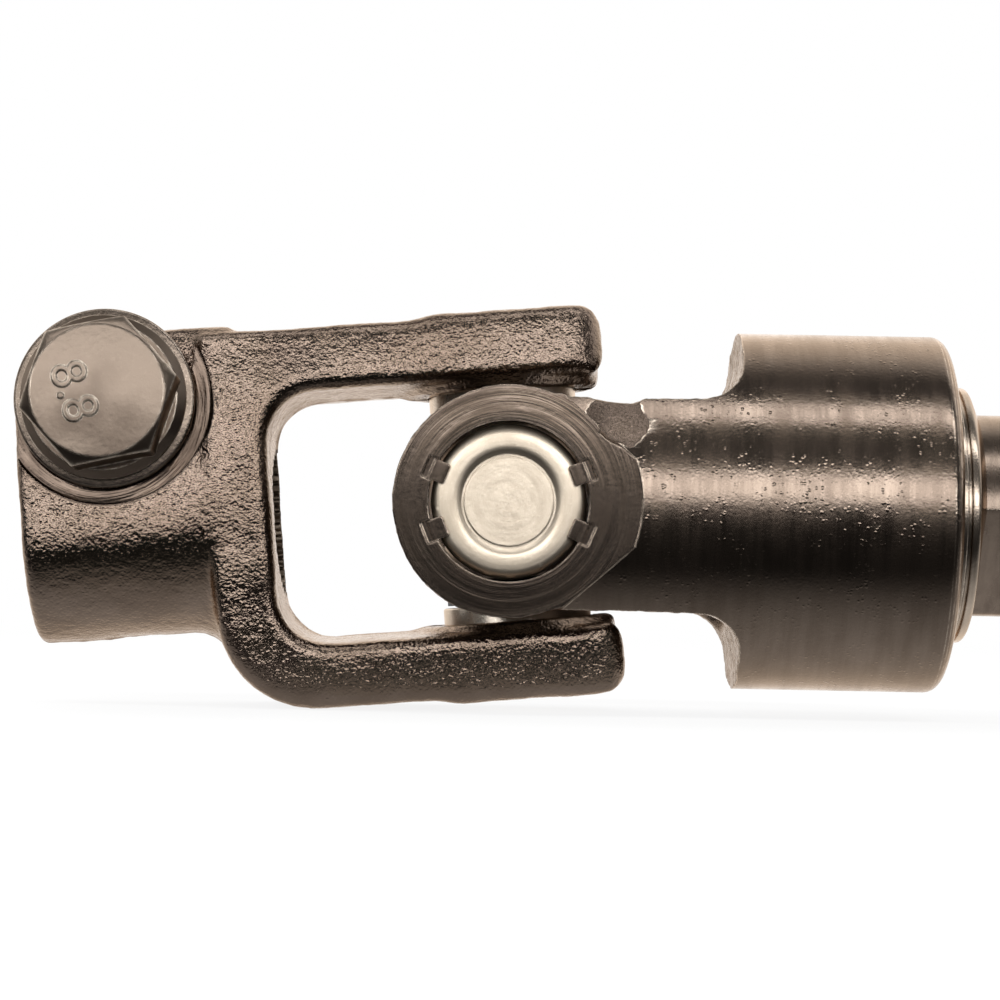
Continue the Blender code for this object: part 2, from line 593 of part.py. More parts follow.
def clamp_yoke(name, parent):
    """A fork with a split hub behind it. The hub runs towards -X and the bolt's head faces -Y."""
    made = fork(name, parent)

    bm = bmesh.new()
    section = rounded([
        (-HUB_RADIUS, LUG_TOP, LUG_EDGE), (HUB_RADIUS, LUG_TOP, LUG_EDGE),
        (HUB_RADIUS, -HUB_RADIUS, HUB_RADIUS), (-HUB_RADIUS, -HUB_RADIUS, HUB_RADIUS),
    ])
    prism(bm, section, "X", -HUB_END, -(WINDOW_DEPTH + BRIDGE_BACK) / 2)
    round_rims(bm, "X", -HUB_END, HUB_EDGE_ROUND, 2)
    boolean(made, "UNION", "hub", clamped(bm))

    reach = HUB_RADIUS + CUT_MARGIN
    centre = (-HUB_END + LUG_ROUND, LUG_TOP - LUG_ROUND)
    corner = arc(centre, LUG_ROUND, math.pi / 2, math.pi)
    corner += [(-HUB_END - CUT_MARGIN, centre[1]), (-HUB_END - CUT_MARGIN, LUG_TOP + CUT_MARGIN)]
    corner.append((centre[0], LUG_TOP + CUT_MARGIN))
    bm = bmesh.new()
    prism(bm, corner, "Y", -reach, reach)
    boolean(made, "DIFFERENCE", "lug_corner", clamped(bm))

    bm = bmesh.new()
    bar(bm, CUP_RADIUS + SEAT_GAP, "Z", -EAR_FACE - CUT_MARGIN, EAR_FACE + CUT_MARGIN, CUP_SEGMENTS)
    boolean(made, "DIFFERENCE", "cup_bore", bm)

    bm = bmesh.new()
    bar(bm, HUB_BORE_RADIUS, "X", -HUB_END - CUT_MARGIN, -WINDOW_DEPTH + CUT_MARGIN, BARREL_SEGMENTS)
    boolean(made, "DIFFERENCE", "shaft_bore", bm)

    bm = bmesh.new()
    slit = [(-HUB_END - CUT_MARGIN, 0), (-SLIT_START, 0), (-SLIT_START, LUG_TOP + CUT_MARGIN)]
    slit.append((-HUB_END - CUT_MARGIN, LUG_TOP + CUT_MARGIN))
    prism(bm, slit, "Y", -SLIT_WIDTH / 2, SLIT_WIDTH / 2)
    boolean(made, "DIFFERENCE", "slit", clamped(bm))

    bm = bmesh.new()
    bar(bm, BOLT_RADIUS + SEAT_GAP, "Y", -reach, reach, SMALL_SEGMENTS, (-BOLT_PLACE, BOLT_HEIGHT))
    boolean(made, "DIFFERENCE", "bolt_hole", clamped(bm))

    bm = bmesh.new()
    bar(bm, BOLT_SEAT_RADIUS, "Y", -reach, -BOLT_SEAT, BARREL_SEGMENTS, (-BOLT_PLACE, BOLT_HEIGHT))
    boolean(made, "DIFFERENCE", "bolt_seat", clamped(bm))


def pinch_bolt(name, parent):
    """Washer, and a bolt with a flanged hexagon head, both drawn along -Y from the bolt's axis point."""
    head = empty(f"{name}_axis", parent, rotation=(-CLAMP_TURN, 0, 0))
    axis_place = (-BOLT_PLACE, 0, BOLT_HEIGHT)
    washer_low = BOLT_SEAT + SEAT_GAP
    washer_high = washer_low + WASHER_THICKNESS
    bore = BOLT_RADIUS + SEAT_GAP
    bm = bmesh.new()
    wall = [(bore, -washer_low), (WASHER_RADIUS, -washer_low), (WASHER_RADIUS, -washer_high), (bore, -washer_high)]
    turned(bm, wall, "Y", CUP_SEGMENTS, ring=True)
    part(f"{name}_washer", bm, head, BROWN_STEEL).location = axis_place

    under = washer_high + SEAT_GAP
    flange = under + FLANGE_THICKNESS
    top = flange + HEAD_HEIGHT
    tip = under - BOLT_LENGTH
    profile = [(0, -flange), (FLANGE_RADIUS - BOLT_TIP_CHAMFER, -flange)]
    profile += [(FLANGE_RADIUS, -under - FLANGE_THICKNESS / 2), (FLANGE_RADIUS, -under), (BOLT_RADIUS, -under)]
    profile += [(BOLT_RADIUS, -tip - BOLT_TIP_CHAMFER), (BOLT_RADIUS - BOLT_TIP_CHAMFER, -tip), (0, -tip)]
    bm = bmesh.new()
    turned(bm, profile, "Y", CUP_SEGMENTS)
    bolt = part(name, bm, head, BROWN_STEEL)
    bolt.location = axis_place

    across_corners = HEAD_ACROSS_FLATS / math.sqrt(3)
    bm = bmesh.new()
    hexagon = [(across_corners * math.cos(HEAD_TURN + k * math.pi / 3),
                across_corners * math.sin(HEAD_TURN + k * math.pi / 3)) for k in range(6)]
    prism(bm, hexagon, "Y", -top, -flange + FLANGE_THICKNESS / 2)
    boolean(bolt, "UNION", "head", bm)
    bpy.data.objects[f"{name}_head"].location = axis_place

    slope = math.tan(math.radians(30))
    reach = across_corners + CUT_MARGIN
    bm = bmesh.new()
    cone = [(HEAD_CHAMFER_RADIUS, -top), (reach, -top + (reach - HEAD_CHAMFER_RADIUS) * slope)]
    cone += [(reach, -top - CUT_MARGIN), (HEAD_CHAMFER_RADIUS, -top - CUT_MARGIN)]
    turned(bm, cone, "Y", CUP_SEGMENTS, ring=True)
    boolean(bolt, "DIFFERENCE", "chamfer", bm)
    bpy.data.objects[f"{name}_chamfer"].location = axis_place


def double_d_part(name, parent, surface, body, hollow, low, high):
    """A double-D bar from low to high, with a double-D way through it where hollow is given."""
    bm = bmesh.new()
    prism(bm, double_d(*body), "X", low, high)
    made = part(name, bm, parent, surface)
    if hollow:
        bm = bmesh.new()
        prism(bm, double_d(*hollow), "X", low - CUT_MARGIN, high + CUT_MARGIN)
        boolean(made, "DIFFERENCE", "way", bm)
    return made


def isolator(housing, twisting):
    """Rubber ring in the housing, and the sleeve and retaining ring that turn with the slip tube."""
    low = HOUSING_FLOOR + SEAT_GAP
    high = HOUSING_END - LIP_LENGTH - SEAT_GAP
    outer = HOUSING_BORE_RADIUS - SEAT_GAP
    inner = SLEEVE_RADIUS + SEAT_GAP
    middle = (low + high) / 2
    groove = RUBBER_GROOVE_LENGTH / 2
    wall = [(inner, low), (outer, low), (outer, middle - groove), (outer - RUBBER_GROOVE_DEPTH, middle)]
    wall += [(outer, middle + groove), (outer, high), (inner, high)]
    bm = bmesh.new()
    turned(bm, wall, "X", CUP_SEGMENTS, ring=True)
    part("isolator_rubber", bm, housing, DARK_RUBBER)

    tube_way = (TUBE_RADIUS + SEAT_GAP, TUBE_FLAT + SEAT_GAP)
    bm = bmesh.new()
    bar(bm, SLEEVE_RADIUS, "X", TUBE_START, high, BARREL_SEGMENTS)
    sleeve = part("isolator_sleeve", bm, twisting, BROWN_STEEL)
    bm = bmesh.new()
    prism(bm, double_d(*tube_way), "X", TUBE_START - CUT_MARGIN, high + CUT_MARGIN)
    boolean(sleeve, "DIFFERENCE", "way", bm)

    start = high + SEAT_GAP
    band = HOUSING_END + SEAT_GAP
    end = band + RING_BAND
    groove = band + (RING_BAND - RING_GROOVE_LENGTH) / 2
    profile = [(0, start), (RING_RADIUS, start), (RING_RADIUS, groove)]
    profile += [(RING_RADIUS - RING_GROOVE_DEPTH, groove), (RING_RADIUS - RING_GROOVE_DEPTH, groove + RING_GROOVE_LENGTH)]
    profile += [(RING_RADIUS, groove + RING_GROOVE_LENGTH), (RING_RADIUS, end)]
    profile += [(TUBE_RADIUS + 2 * SEAT_GAP, end + RING_TAPER), (0, end + RING_TAPER)]
    bm = bmesh.new()
    turned(bm, profile, "X", BARREL_SEGMENTS)
    ring = part("retaining_ring", bm, twisting, BRIGHT_STEEL)
    bm = bmesh.new()
    prism(bm, double_d(*tube_way), "X", start - CUT_MARGIN, end + CUT_MARGIN)
    boolean(ring, "DIFFERENCE", "way", bm)


def slip_tube(parent):
    """The tube, the nylon bush in its mouth and the rubber cap over it."""
    tube_bore = (TUBE_RADIUS - TUBE_WALL, TUBE_FLAT - TUBE_WALL)
    slider_way = (SLIDER_RADIUS + SEAT_GAP, SLIDER_FLAT + SEAT_GAP)
    double_d_part("slip_tube", parent, BROWN_STEEL, (TUBE_RADIUS, TUBE_FLAT), tube_bore, TUBE_START, TUBE_MOUTH)
    bush = (tube_bore[0] - SEAT_GAP, tube_bore[1] - SEAT_GAP)
    bush_end = TUBE_MOUTH - BUSH_INSET
    double_d_part("slider_bush", parent, PALE_NYLON, bush, slider_way, bush_end - BUSH_LENGTH, bush_end)

    bm = bmesh.new()
    low = TUBE_MOUTH - CAP_OVERLAP
    high = TUBE_MOUTH + SEAT_GAP + CAP_LIP
    bar(bm, CAP_RADIUS, "X", low, high, BARREL_SEGMENTS)
    round_rims(bm, "X", high, CAP_ROUND, 2)
    cap = part("tube_cap", bm, parent, DARK_RUBBER)
    bm = bmesh.new()
    prism(bm, double_d(TUBE_RADIUS + SEAT_GAP, TUBE_FLAT + SEAT_GAP), "X", low - CUT_MARGIN, TUBE_MOUTH + SEAT_GAP)
    boolean(cap, "DIFFERENCE", "tube_way", bm)
    bm = bmesh.new()
    prism(bm, double_d(*slider_way), "X", low - CUT_MARGIN, high + CUT_MARGIN)
    boolean(cap, "DIFFERENCE", "slider_way", bm)


def slider(parent):
    """The double-D shaft that slides in the tube, drilled for the far yoke's pin."""
    end = JOINT_SPAN - SOCKET_FLOOR
    made = double_d_part("slider_shaft", parent, BROWN_STEEL, (SLIDER_RADIUS, SLIDER_FLAT), None, SLIDER_START, end)
    bm = bmesh.new()
    reach = SLIDER_RADIUS + CUT_MARGIN
    bar(bm, PIN_RADIUS + SEAT_GAP, "Z", -reach, reach, SMALL_SEGMENTS, (JOINT_SPAN - PIN_PLACE, 0))
    boolean(made, "DIFFERENCE", "pin_hole", bm)


def universal_joint(name, cross_pivot, clamp_pivot, joint_yoke_parent):
    """Cross, the joint yoke's two bearings, and the clamp yoke with its bearings and bolt."""
    cross(f"{name}_cross", cross_pivot)
    bearing_pair(name, joint_yoke_parent, along_y=True)
    bearing_pair(name, clamp_pivot, along_y=False)
    clamp_yoke(f"{name}_clamp_yoke", clamp_pivot)
    pinch_bolt(f"{name}_pinch_bolt", clamp_pivot)


def main():
    clear_scene()
    elbow = BRIDGE_BACK - ELBOW_RADIUS
    axis_height = elbow * math.sin(BEND) + (FORK_FACE - ELBOW_RADIUS) * math.cos(BEND) + ELBOW_RADIUS
    housing = empty("shaft_frame", location=(-JOINT_SPAN / 2, 0, axis_height))

    near_cross = empty("near_cross_pivot", housing, rotation=(0, -BEND, 0))
    near_clamp = empty("near_clamp_pivot", near_cross, rotation=(0, 0, SWING))
    universal_joint("near", near_cross, near_clamp, housing)
    isolator_yoke(housing)

    twisting = empty("isolator_pivot", housing, location=(0, 0, 0))
    isolator(housing, twisting)
    slip_tube(twisting)

    telescope = empty("telescope", twisting)
    slider(telescope)
    far_frame = empty("far_frame", telescope, location=(JOINT_SPAN, 0, 0), rotation=(0, 0, math.pi))
    far_yoke(far_frame)
    far_cross = empty("far_cross_pivot", far_frame, rotation=(0, -BEND, 0))
    far_clamp = empty("far_clamp_pivot", far_cross, rotation=(0, 0, SWING))
    universal_joint("far", far_cross, far_clamp, far_frame)


main()
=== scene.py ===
"""Looks of the intermediate steering shaft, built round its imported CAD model.

Metres, +Z up. Each yoke is drawn about its own joint centre, its fork open towards +X (clamp yokes)
or -X (joint yokes), and then laid in place. A forging starts as rough overlapping shells, is
remeshed, smoothed and given an uneven skin, and is machined with Booleans after that.
"""

import math

import bmesh
import bpy
from mathutils import Euler, Matrix, Quaternion, Vector, noise

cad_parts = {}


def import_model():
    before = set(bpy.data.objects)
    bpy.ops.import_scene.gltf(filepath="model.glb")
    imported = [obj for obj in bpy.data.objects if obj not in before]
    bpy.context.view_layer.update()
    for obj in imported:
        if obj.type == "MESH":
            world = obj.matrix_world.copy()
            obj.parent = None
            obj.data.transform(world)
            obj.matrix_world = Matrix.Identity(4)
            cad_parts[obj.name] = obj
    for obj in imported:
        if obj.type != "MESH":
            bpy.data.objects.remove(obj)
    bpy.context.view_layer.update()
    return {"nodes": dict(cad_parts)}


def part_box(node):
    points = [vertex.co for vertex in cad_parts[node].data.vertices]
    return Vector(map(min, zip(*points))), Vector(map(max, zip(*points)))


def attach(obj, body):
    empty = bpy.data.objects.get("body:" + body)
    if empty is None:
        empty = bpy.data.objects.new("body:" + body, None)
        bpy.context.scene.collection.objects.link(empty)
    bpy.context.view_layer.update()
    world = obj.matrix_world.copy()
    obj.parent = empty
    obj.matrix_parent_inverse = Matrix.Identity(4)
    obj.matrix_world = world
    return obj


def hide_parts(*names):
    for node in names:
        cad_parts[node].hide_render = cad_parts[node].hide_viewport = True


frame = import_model()

AXES = "XYZ"
HALF_TURN = Matrix.Rotation(math.pi, 4, "Z")
BEND = math.radians(5.1)
SWING = math.radians(2.5)
CLAMP_TURN = math.radians(3)

# Bearings
TRUNNION = 0.0056
CUP_RADIUS = 0.0095
CUP_BORE = 0.0075
CUP_FACE = 0.0217
CUP_MOUTH = 0.0126
CUP_ROUND = 0.0012
SHOULDER = 0.0093
DISH_RADIUS = 0.0059
DISH_DEPTH = 0.00035
SEAL_RADIUS = 0.0093
BORE_CLEARANCE = 0.0003

# Joint yokes
BARREL = 0.0230
EYE_RADIUS = 0.0142
EYE_FACE = 0.02238
SPOT_RADIUS = 0.0163
ARM_WIDTH = 0.0131
ARM_GAP = 0.0145
ARM_ROOT = 0.0290
ARM_FILLET = 0.0055
ARM_RELIEF = (0.0028, 0.0032)
HOUSING_END = 0.0555
HOUSING_FLOOR = 0.0340
HOUSING_BORE = 0.0190
HOUSING_ROUND = 0.0018
LIP_RADIUS = 0.0169
LIP_LENGTH = 0.0015
FAR_HUB_RADIUS = 0.0165
FAR_HUB_END = 0.0500
PIN_PLACE = 0.0410
PIN_RADIUS = 0.0025

# Clamp yokes
FORK_WIDTH = 0.0140
FORK_FACE = 0.0240
EAR_FACE = 0.0246
EAR_END = 0.0128
WINDOW_HEIGHT = 0.0152
WINDOW_DEPTH = 0.0296
DRAFT = 0.0007
BRIDGE_BACK = 0.0380
HUB_RADIUS = 0.0134
HUB_END = 0.0615
HUB_BORE = 0.0095
LUG_TOP = 0.0244
BOLT_PLACE = 0.0500
BOLT_HEIGHT = 0.0159
BOLT_RADIUS = 0.0050
BOLT_SEAT = 0.0125
SEAT_RADIUS = 0.0133

# Tubes
FLAT_TURN = math.radians(38)
TUBE_RADIUS = 0.0130
TUBE_FLAT = 0.0100
SLIDER_RADIUS = 0.0094
SLIDER_FLAT = 0.0064

TURNED_STEPS = 160


def centre_of(node):
    low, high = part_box(node)
    return (low + high) / 2


NEAR = centre_of("near_cross")
FAR = centre_of("far_cross")
NEAR_YOKE = Matrix.Translation(NEAR)
FAR_YOKE = Matrix.Translation(FAR) @ HALF_TURN
HANG = Matrix.Rotation(-BEND, 4, "Y")
LEAN = Matrix.Rotation(SWING, 4, "Z")
NEAR_CLAMP = NEAR_YOKE @ HANG @ LEAN
FAR_CLAMP = FAR_YOKE @ HANG @ LEAN
TILT = Matrix.Rotation(-CLAMP_TURN, 4, "X")


# Shapes

def along(axis):
    return Vector([name == axis for name in AXES])


def point(axis, a, b, place):
    """The point (a, b) in the plane across axis, at this place along it."""
    made = [a, b]
    made.insert(AXES.index(axis), place)
    return Vector(made)


def slab(corners, axis, low, high):
    """An outline of corners (a, b, radius) extruded along axis, its corners rounded."""
    bm = bmesh.new()
    base = [bm.verts.new(point(axis, a, b, low)) for a, b, _ in corners]
    grown = bmesh.ops.extrude_face_region(bm, geom=[bm.faces.new(base)])["geom"]
    raised = [item for item in grown if isinstance(item, bmesh.types.BMVert)]
    bmesh.ops.translate(bm, verts=raised, vec=along(axis) * (high - low))
    uprights = {}
    for edge in bm.edges:
        a, b = (v.co for v in edge.verts)
        if abs((a - b).dot(along(axis))) > 1e-7:
            uprights[tuple(round(x, 7) for x in a - along(axis) * a.dot(along(axis)))] = edge
    for index, (a, b, radius) in enumerate(corners):
        if radius:
            here = Vector((a, b))
            back = Vector(corners[index - 1][:2]) - here
            ahead = Vector(corners[(index + 1) % len(corners)][:2]) - here
            edge = uprights[tuple(round(x, 7) for x in point(axis, a, b, 0))]
            steps = 4 if radius < 0.004 else 10
            bevel(bm, [edge], radius / math.tan(back.angle(ahead) / 2), steps)
    return bm


def bevel(bm, edges, offset, steps=3):
    bmesh.ops.bevel(bm, geom=edges, offset=offset, segments=steps, profile=0.5,
                    affect="EDGES", material=-1, clamp_overlap=True)


def rim(bm, axis, place, radius=None):
    """The edges in the plane across axis at this place, or only those at this radius."""
    found = []
    for edge in bm.edges:
        level = all(abs(v.co.dot(along(axis)) - place) < 1e-6 for v in edge.verts)
        if level and radius is None:
            found.append(edge)
        elif level:
            out = [(v.co - along(axis) * place).length for v in edge.verts]
            if all(abs(r - radius) < 2e-5 for r in out):
                found.append(edge)
    return found


def turned(profile, axis, steps=TURNED_STEPS, ring=False, rounds=()):
    """(radius, place) pairs spun round axis, with the rims in rounds (radius, place, size) rounded."""
    bm = bmesh.new()
    side = along("Y" if axis == "X" else "X")
    verts = [bm.verts.new(side * radius + along(axis) * place) for radius, place in profile]
    edges = [bm.edges.new(pair) for pair in zip(verts, verts[1:])]
    if ring:
        edges.append(bm.edges.new((verts[-1], verts[0])))
    bmesh.ops.spin(bm, geom=verts + edges, cent=(0, 0, 0), axis=along(axis), angle=2 * math.pi,
                   steps=steps, use_merge=True)
    bmesh.ops.remove_doubles(bm, verts=bm.verts, dist=1e-7)
    bmesh.ops.dissolve_degenerate(bm, edges=bm.edges, dist=1e-8)
    for radius, place, size in rounds:
        bevel(bm, rim(bm, axis, place, radius), size)
    return bm


def divided(profile, step=0.0025):
    """The profile with points added along its straight runs, so that cuts leave its shading even."""
    points = [Vector(profile[0])]
    for end in profile[1:]:
        start = points[-1]
        run = Vector(end) - start
        count = max(1, round(run.length / step))
        points += [start + run * index / count for index in range(1, count + 1)]
    return points


def press_flats(bm, radius, flat):
    """Presses two flats into what lies at this radius about X, facing as the slip tube's."""
    facing = Vector((0, math.cos(math.pi + FLAT_TURN), math.sin(math.pi + FLAT_TURN)))
    for vert in bm.verts:
        out = math.hypot(vert.co.y, vert.co.z)
        reach = vert.co.dot(facing)
        limit = flat - (radius - out)
        if abs(out - radius) < 6e-4 and abs(reach) > limit:
            vert.co += facing * (math.copysign(limit, reach) - reach)


def moved(bm, offset):
    bmesh.ops.translate(bm, verts=bm.verts, vec=Vector(offset))
    return bm


def laid(bm, matrix):
    bmesh.ops.transform(bm, matrix=matrix, verts=bm.verts)
    return bm


def joined(*shells):
    """Several shells in one mesh."""
    whole = bmesh.new()
    for shell in shells:
        spare = bpy.data.meshes.new("spare")
        shell.to_mesh(spare)
        shell.free()
        whole.from_mesh(spare)
        bpy.data.meshes.remove(spare)
    return whole


def piece_of(name, bm, finish=None):
    bmesh.ops.recalc_face_normals(bm, faces=bm.faces)
    mesh = bpy.data.meshes.new(name)
    bm.to_mesh(mesh)
    bm.free()
    made = bpy.data.objects.new(name, mesh)
    bpy.context.scene.collection.objects.link(made)
    if finish:
        made.data.materials.append(finish)
    return made


def settle(piece):
    """Puts what the modifiers make into the piece's own mesh."""
    bpy.context.view_layer.update()
    ready = piece.evaluated_get(bpy.context.evaluated_depsgraph_get())
    mesh = bpy.data.meshes.new_from_object(ready)
    piece.modifiers.clear()
    old = piece.data
    piece.data = mesh
    bpy.data.meshes.remove(old)
    return piece


def machine(piece, bm, finish, operation="DIFFERENCE"):
    """Cuts or joins the piece with a tool, whose faces leave their own finish."""
    tool = piece_of("tool", bm, finish)
    modifier = piece.modifiers.new("machined", "BOOLEAN")
    modifier.operation = operation
    modifier.object = tool
    modifier.solver = "MANIFOLD"
    modifier.material_mode = "TRANSFER"
    settle(piece)
    mesh = tool.data
    bpy.data.objects.remove(tool)
    bpy.data.meshes.remove(mesh)
    return piece


def forge(piece, voxel, passes, skin, lumps, flash=0.0, crown=0.0, sink=None):
    """Joins the shells into one, rounds the edges and roughens the skin as a forging's. The crown
    draws in the sides towards top and bottom; sink gives how far a place lies under the full skin."""
    remesh = piece.modifiers.new("remesh", "REMESH")
    remesh.mode = "VOXEL"
    remesh.voxel_size = voxel
    smooth = piece.modifiers.new("smooth", "SMOOTH")
    smooth.factor = 0.5
    smooth.iterations = passes
    settle(piece)
    mesh = piece.data
    outward = [vert.normal.copy() for vert in mesh.vertices]
    for vert, normal in zip(mesh.vertices, outward):
        place = vert.co
        if crown:
            place = Vector((place.x, place.y * (1 - crown * (place.z / FORK_FACE) ** 2), place.z))
        push = lumps * noise.noise(place * 180.0)
        if sink:
            push -= sink(place)
        push += skin * noise.fractal(place * 900.0, 0.7, 2.1, 3)
        if flash:
            push += flash * max(0.0, 1 - abs(place.y) / 0.0005) * (0.6 + 0.6 * noise.noise(place * 420.0))
        vert.co = place + normal * push
    mesh.update()
    return piece


def shade(piece, angle=30.0):
    piece.data.shade_smooth()
    piece.data.set_sharp_from_angle(angle=math.radians(angle))


def fit(piece, matrix, body, slot, *nodes):
    """Lays a finished piece in place, hangs it on its body and hides the CAD parts that it stands for."""
    piece.data.transform(matrix)
    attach(piece, body)
    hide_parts(*nodes)
    return piece


# Finishes

def node(tree, kind, values=None, **settings):
    made = tree.nodes.new(kind)
    for name, value in settings.items():
        setattr(made, name, value)
    for name, value in (values or {}).items():
        made.inputs[name].default_value = value
    return made


def wire(tree, source, target):
    tree.links.new(source, target)


def math_node(tree, operation, *values):
    made = node(tree, "ShaderNodeMath", operation=operation)
    for index, value in enumerate(values):
        if isinstance(value, (int, float)):
            made.inputs[index].default_value = value
        else:
            wire(tree, value, made.inputs[index])
    return made.outputs[0]


def ramp(tree, value, low, high, to_low=0.0, to_high=1.0):
    made = node(tree, "ShaderNodeMapRange", {"From Min": low, "From Max": high,
                                             "To Min": to_low, "To Max": to_high})
    made.interpolation_type = "SMOOTHSTEP"
    wire(tree, value, made.inputs["Value"])
    return made.outputs["Result"]


def noise_node(tree, vector, scale, detail=2.0, roughness=0.5, distortion=0.0):
    made = node(tree, "ShaderNodeTexNoise", {"Scale": scale, "Detail": detail,
                                             "Roughness": roughness, "Distortion": distortion})
    wire(tree, vector, made.inputs["Vector"])
    return made.outputs["Fac"]


def group(name, inputs, outputs):
    """A new node group, with its input and output nodes."""
    tree = bpy.data.node_groups.new(name, "ShaderNodeTree")
    for label, kind, value in inputs:
        socket = tree.interface.new_socket(label, in_out="INPUT", socket_type=kind)
        if value is not None:
            socket.default_value = value
    for label, kind in outputs:
        tree.interface.new_socket(label, in_out="OUTPUT", socket_type=kind)
    return tree, tree.nodes.new("NodeGroupInput").outputs, tree.nodes.new("NodeGroupOutput").inputs


def forged_skin():
    """Shot-blasted skin: a height, and flecks where the finish is thin."""
    tree, given, out = group("forged_skin",
                             [("Vector", "NodeSocketVector", None), ("Grain", "NodeSocketFloat", 0.0004)],
                             [("Height", "NodeSocketFloat"), ("Fleck", "NodeSocketFloat"),
                              ("Patch", "NodeSocketFloat")])
    scaled = node(tree, "ShaderNodeVectorMath", operation="SCALE")
    wire(tree, given["Vector"], scaled.inputs[0])
    wire(tree, math_node(tree, "DIVIDE", 1.0, given["Grain"]), scaled.inputs["Scale"])
    coarse = noise_node(tree, scaled.outputs[0], 0.55, 3.0, 0.6)
    fine = noise_node(tree, scaled.outputs[0], 1.7, 2.0, 0.55)
    pits = node(tree, "ShaderNodeTexVoronoi", {"Scale": 0.8})
    wire(tree, scaled.outputs[0], pits.inputs["Vector"])
    dents = ramp(tree, pits.outputs["Distance"], 0.0, 0.55)
    height = math_node(tree, "ADD", math_node(tree, "MULTIPLY", coarse, 1.2), math_node(tree, "MULTIPLY", fine, 0.6))
    height = math_node(tree, "ADD", height, math_node(tree, "MULTIPLY", dents, 0.35))
    wire(tree, height, out["Height"])
    wire(tree, ramp(tree, fine, 0.56, 0.70), out["Fleck"])
    wire(tree, ramp(tree, noise_node(tree, scaled.outputs[0], 0.045, 3.0, 0.6), 0.38, 0.62), out["Patch"])
    return tree


def turning_marks():
    """Tool marks round the Z axis of the vector given: a fine height and broader streaks."""
    tree, given, out = group("turning_marks",
                             [("Vector", "NodeSocketVector", None), ("Pitch", "NodeSocketFloat", 0.0002)],
                             [("Height", "NodeSocketFloat"), ("Streak", "NodeSocketFloat")])
    parts = node(tree, "ShaderNodeSeparateXYZ")
    wire(tree, given["Vector"], parts.inputs[0])
    square = math_node(tree, "ADD", math_node(tree, "MULTIPLY", parts.outputs[0], parts.outputs[0]),
                       math_node(tree, "MULTIPLY", parts.outputs[1], parts.outputs[1]))
    radius = math_node(tree, "SQRT", square)
    angle = math_node(tree, "ARCTAN2", parts.outputs[1], parts.outputs[0])
    rounds = node(tree, "ShaderNodeCombineXYZ")
    wire(tree, math_node(tree, "DIVIDE", radius, given["Pitch"]), rounds.inputs[0])
    wire(tree, math_node(tree, "MULTIPLY", angle, 0.9), rounds.inputs[1])
    wire(tree, math_node(tree, "DIVIDE", parts.outputs[2], given["Pitch"]), rounds.inputs[2])
    fine = noise_node(tree, rounds.outputs[0], 0.9, 2.0, 0.6)
    swell = noise_node(tree, rounds.outputs[0], 0.17, 1.0, 0.5)
    wire(tree, math_node(tree, "ADD", fine, math_node(tree, "MULTIPLY", swell, 3.0)), out["Height"])
    broad = node(tree, "ShaderNodeVectorMath", operation="MULTIPLY")
    broad.inputs[1].default_value = (0.16, 1.3, 0.16)
    wire(tree, rounds.outputs[0], broad.inputs[0])
    wire(tree, noise_node(tree, broad.outputs[0], 1.0, 4.0, 0.65), out["Streak"])
    return tree


def edge_wear():
    """A mask along sharp edges, broken up by noise, and a normal that rounds them."""
    tree, given, out = group("edge_wear",
                             [("Vector", "NodeSocketVector", None), ("Width", "NodeSocketFloat", 0.0003),
                              ("Least Bend", "NodeSocketFloat", 0.02)],
                             [("Mask", "NodeSocketFloat"), ("Normal", "NodeSocketVector")])
    soft = node(tree, "ShaderNodeBevel", samples=4)
    wire(tree, given["Width"], soft.inputs["Radius"])
    plain = node(tree, "ShaderNodeNewGeometry")
    dot = node(tree, "ShaderNodeVectorMath", operation="DOT_PRODUCT")
    wire(tree, soft.outputs[0], dot.inputs[0])
    wire(tree, plain.outputs["True Normal"], dot.inputs[1])
    bent = math_node(tree, "SUBTRACT", 1.0, dot.outputs["Value"])
    bent = math_node(tree, "DIVIDE", bent, given["Least Bend"])
    broken = ramp(tree, noise_node(tree, given["Vector"], 700.0, 4.0, 0.6), 0.35, 0.6, 0.2, 1.0)
    wire(tree, math_node(tree, "MULTIPLY", ramp(tree, bent, 1.0, 7.0), broken), out["Mask"])
    wire(tree, soft.outputs[0], out["Normal"])
    return tree


def blisters():
    """Small round swellings of the finish, gathered in patches."""
    tree, given, out = group("blisters",
                             [("Vector", "NodeSocketVector", None), ("Size", "NodeSocketFloat", 0.0006)],
                             [("Height", "NodeSocketFloat")])
    scaled = node(tree, "ShaderNodeVectorMath", operation="SCALE")
    wire(tree, given["Vector"], scaled.inputs[0])
    wire(tree, math_node(tree, "DIVIDE", 1.0, given["Size"]), scaled.inputs["Scale"])
    cells = node(tree, "ShaderNodeTexVoronoi", {"Scale": 1.0})
    wire(tree, scaled.outputs[0], cells.inputs["Vector"])
    domes = ramp(tree, cells.outputs["Distance"], 0.46, 0.10)
    chosen = ramp(tree, noise_node(tree, scaled.outputs[0], 0.45, 2.0, 0.6), 0.46, 0.56)
    gathered = ramp(tree, noise_node(tree, scaled.outputs[0], 0.11, 3.0, 0.6), 0.44, 0.56)
    wire(tree, math_node(tree, "MULTIPLY", domes, math_node(tree, "MULTIPLY", chosen, gathered)), out["Height"])
    return tree


SKIN = forged_skin()
BLISTERS = blisters()
TURNING = turning_marks()
WEAR = edge_wear()


def use(tree, kind, vector, **values):
    made = node(tree, "ShaderNodeGroup", node_tree=kind)
    wire(tree, vector, made.inputs["Vector"])
    for name, value in values.items():
        made.inputs[name].default_value = value
    return made.outputs


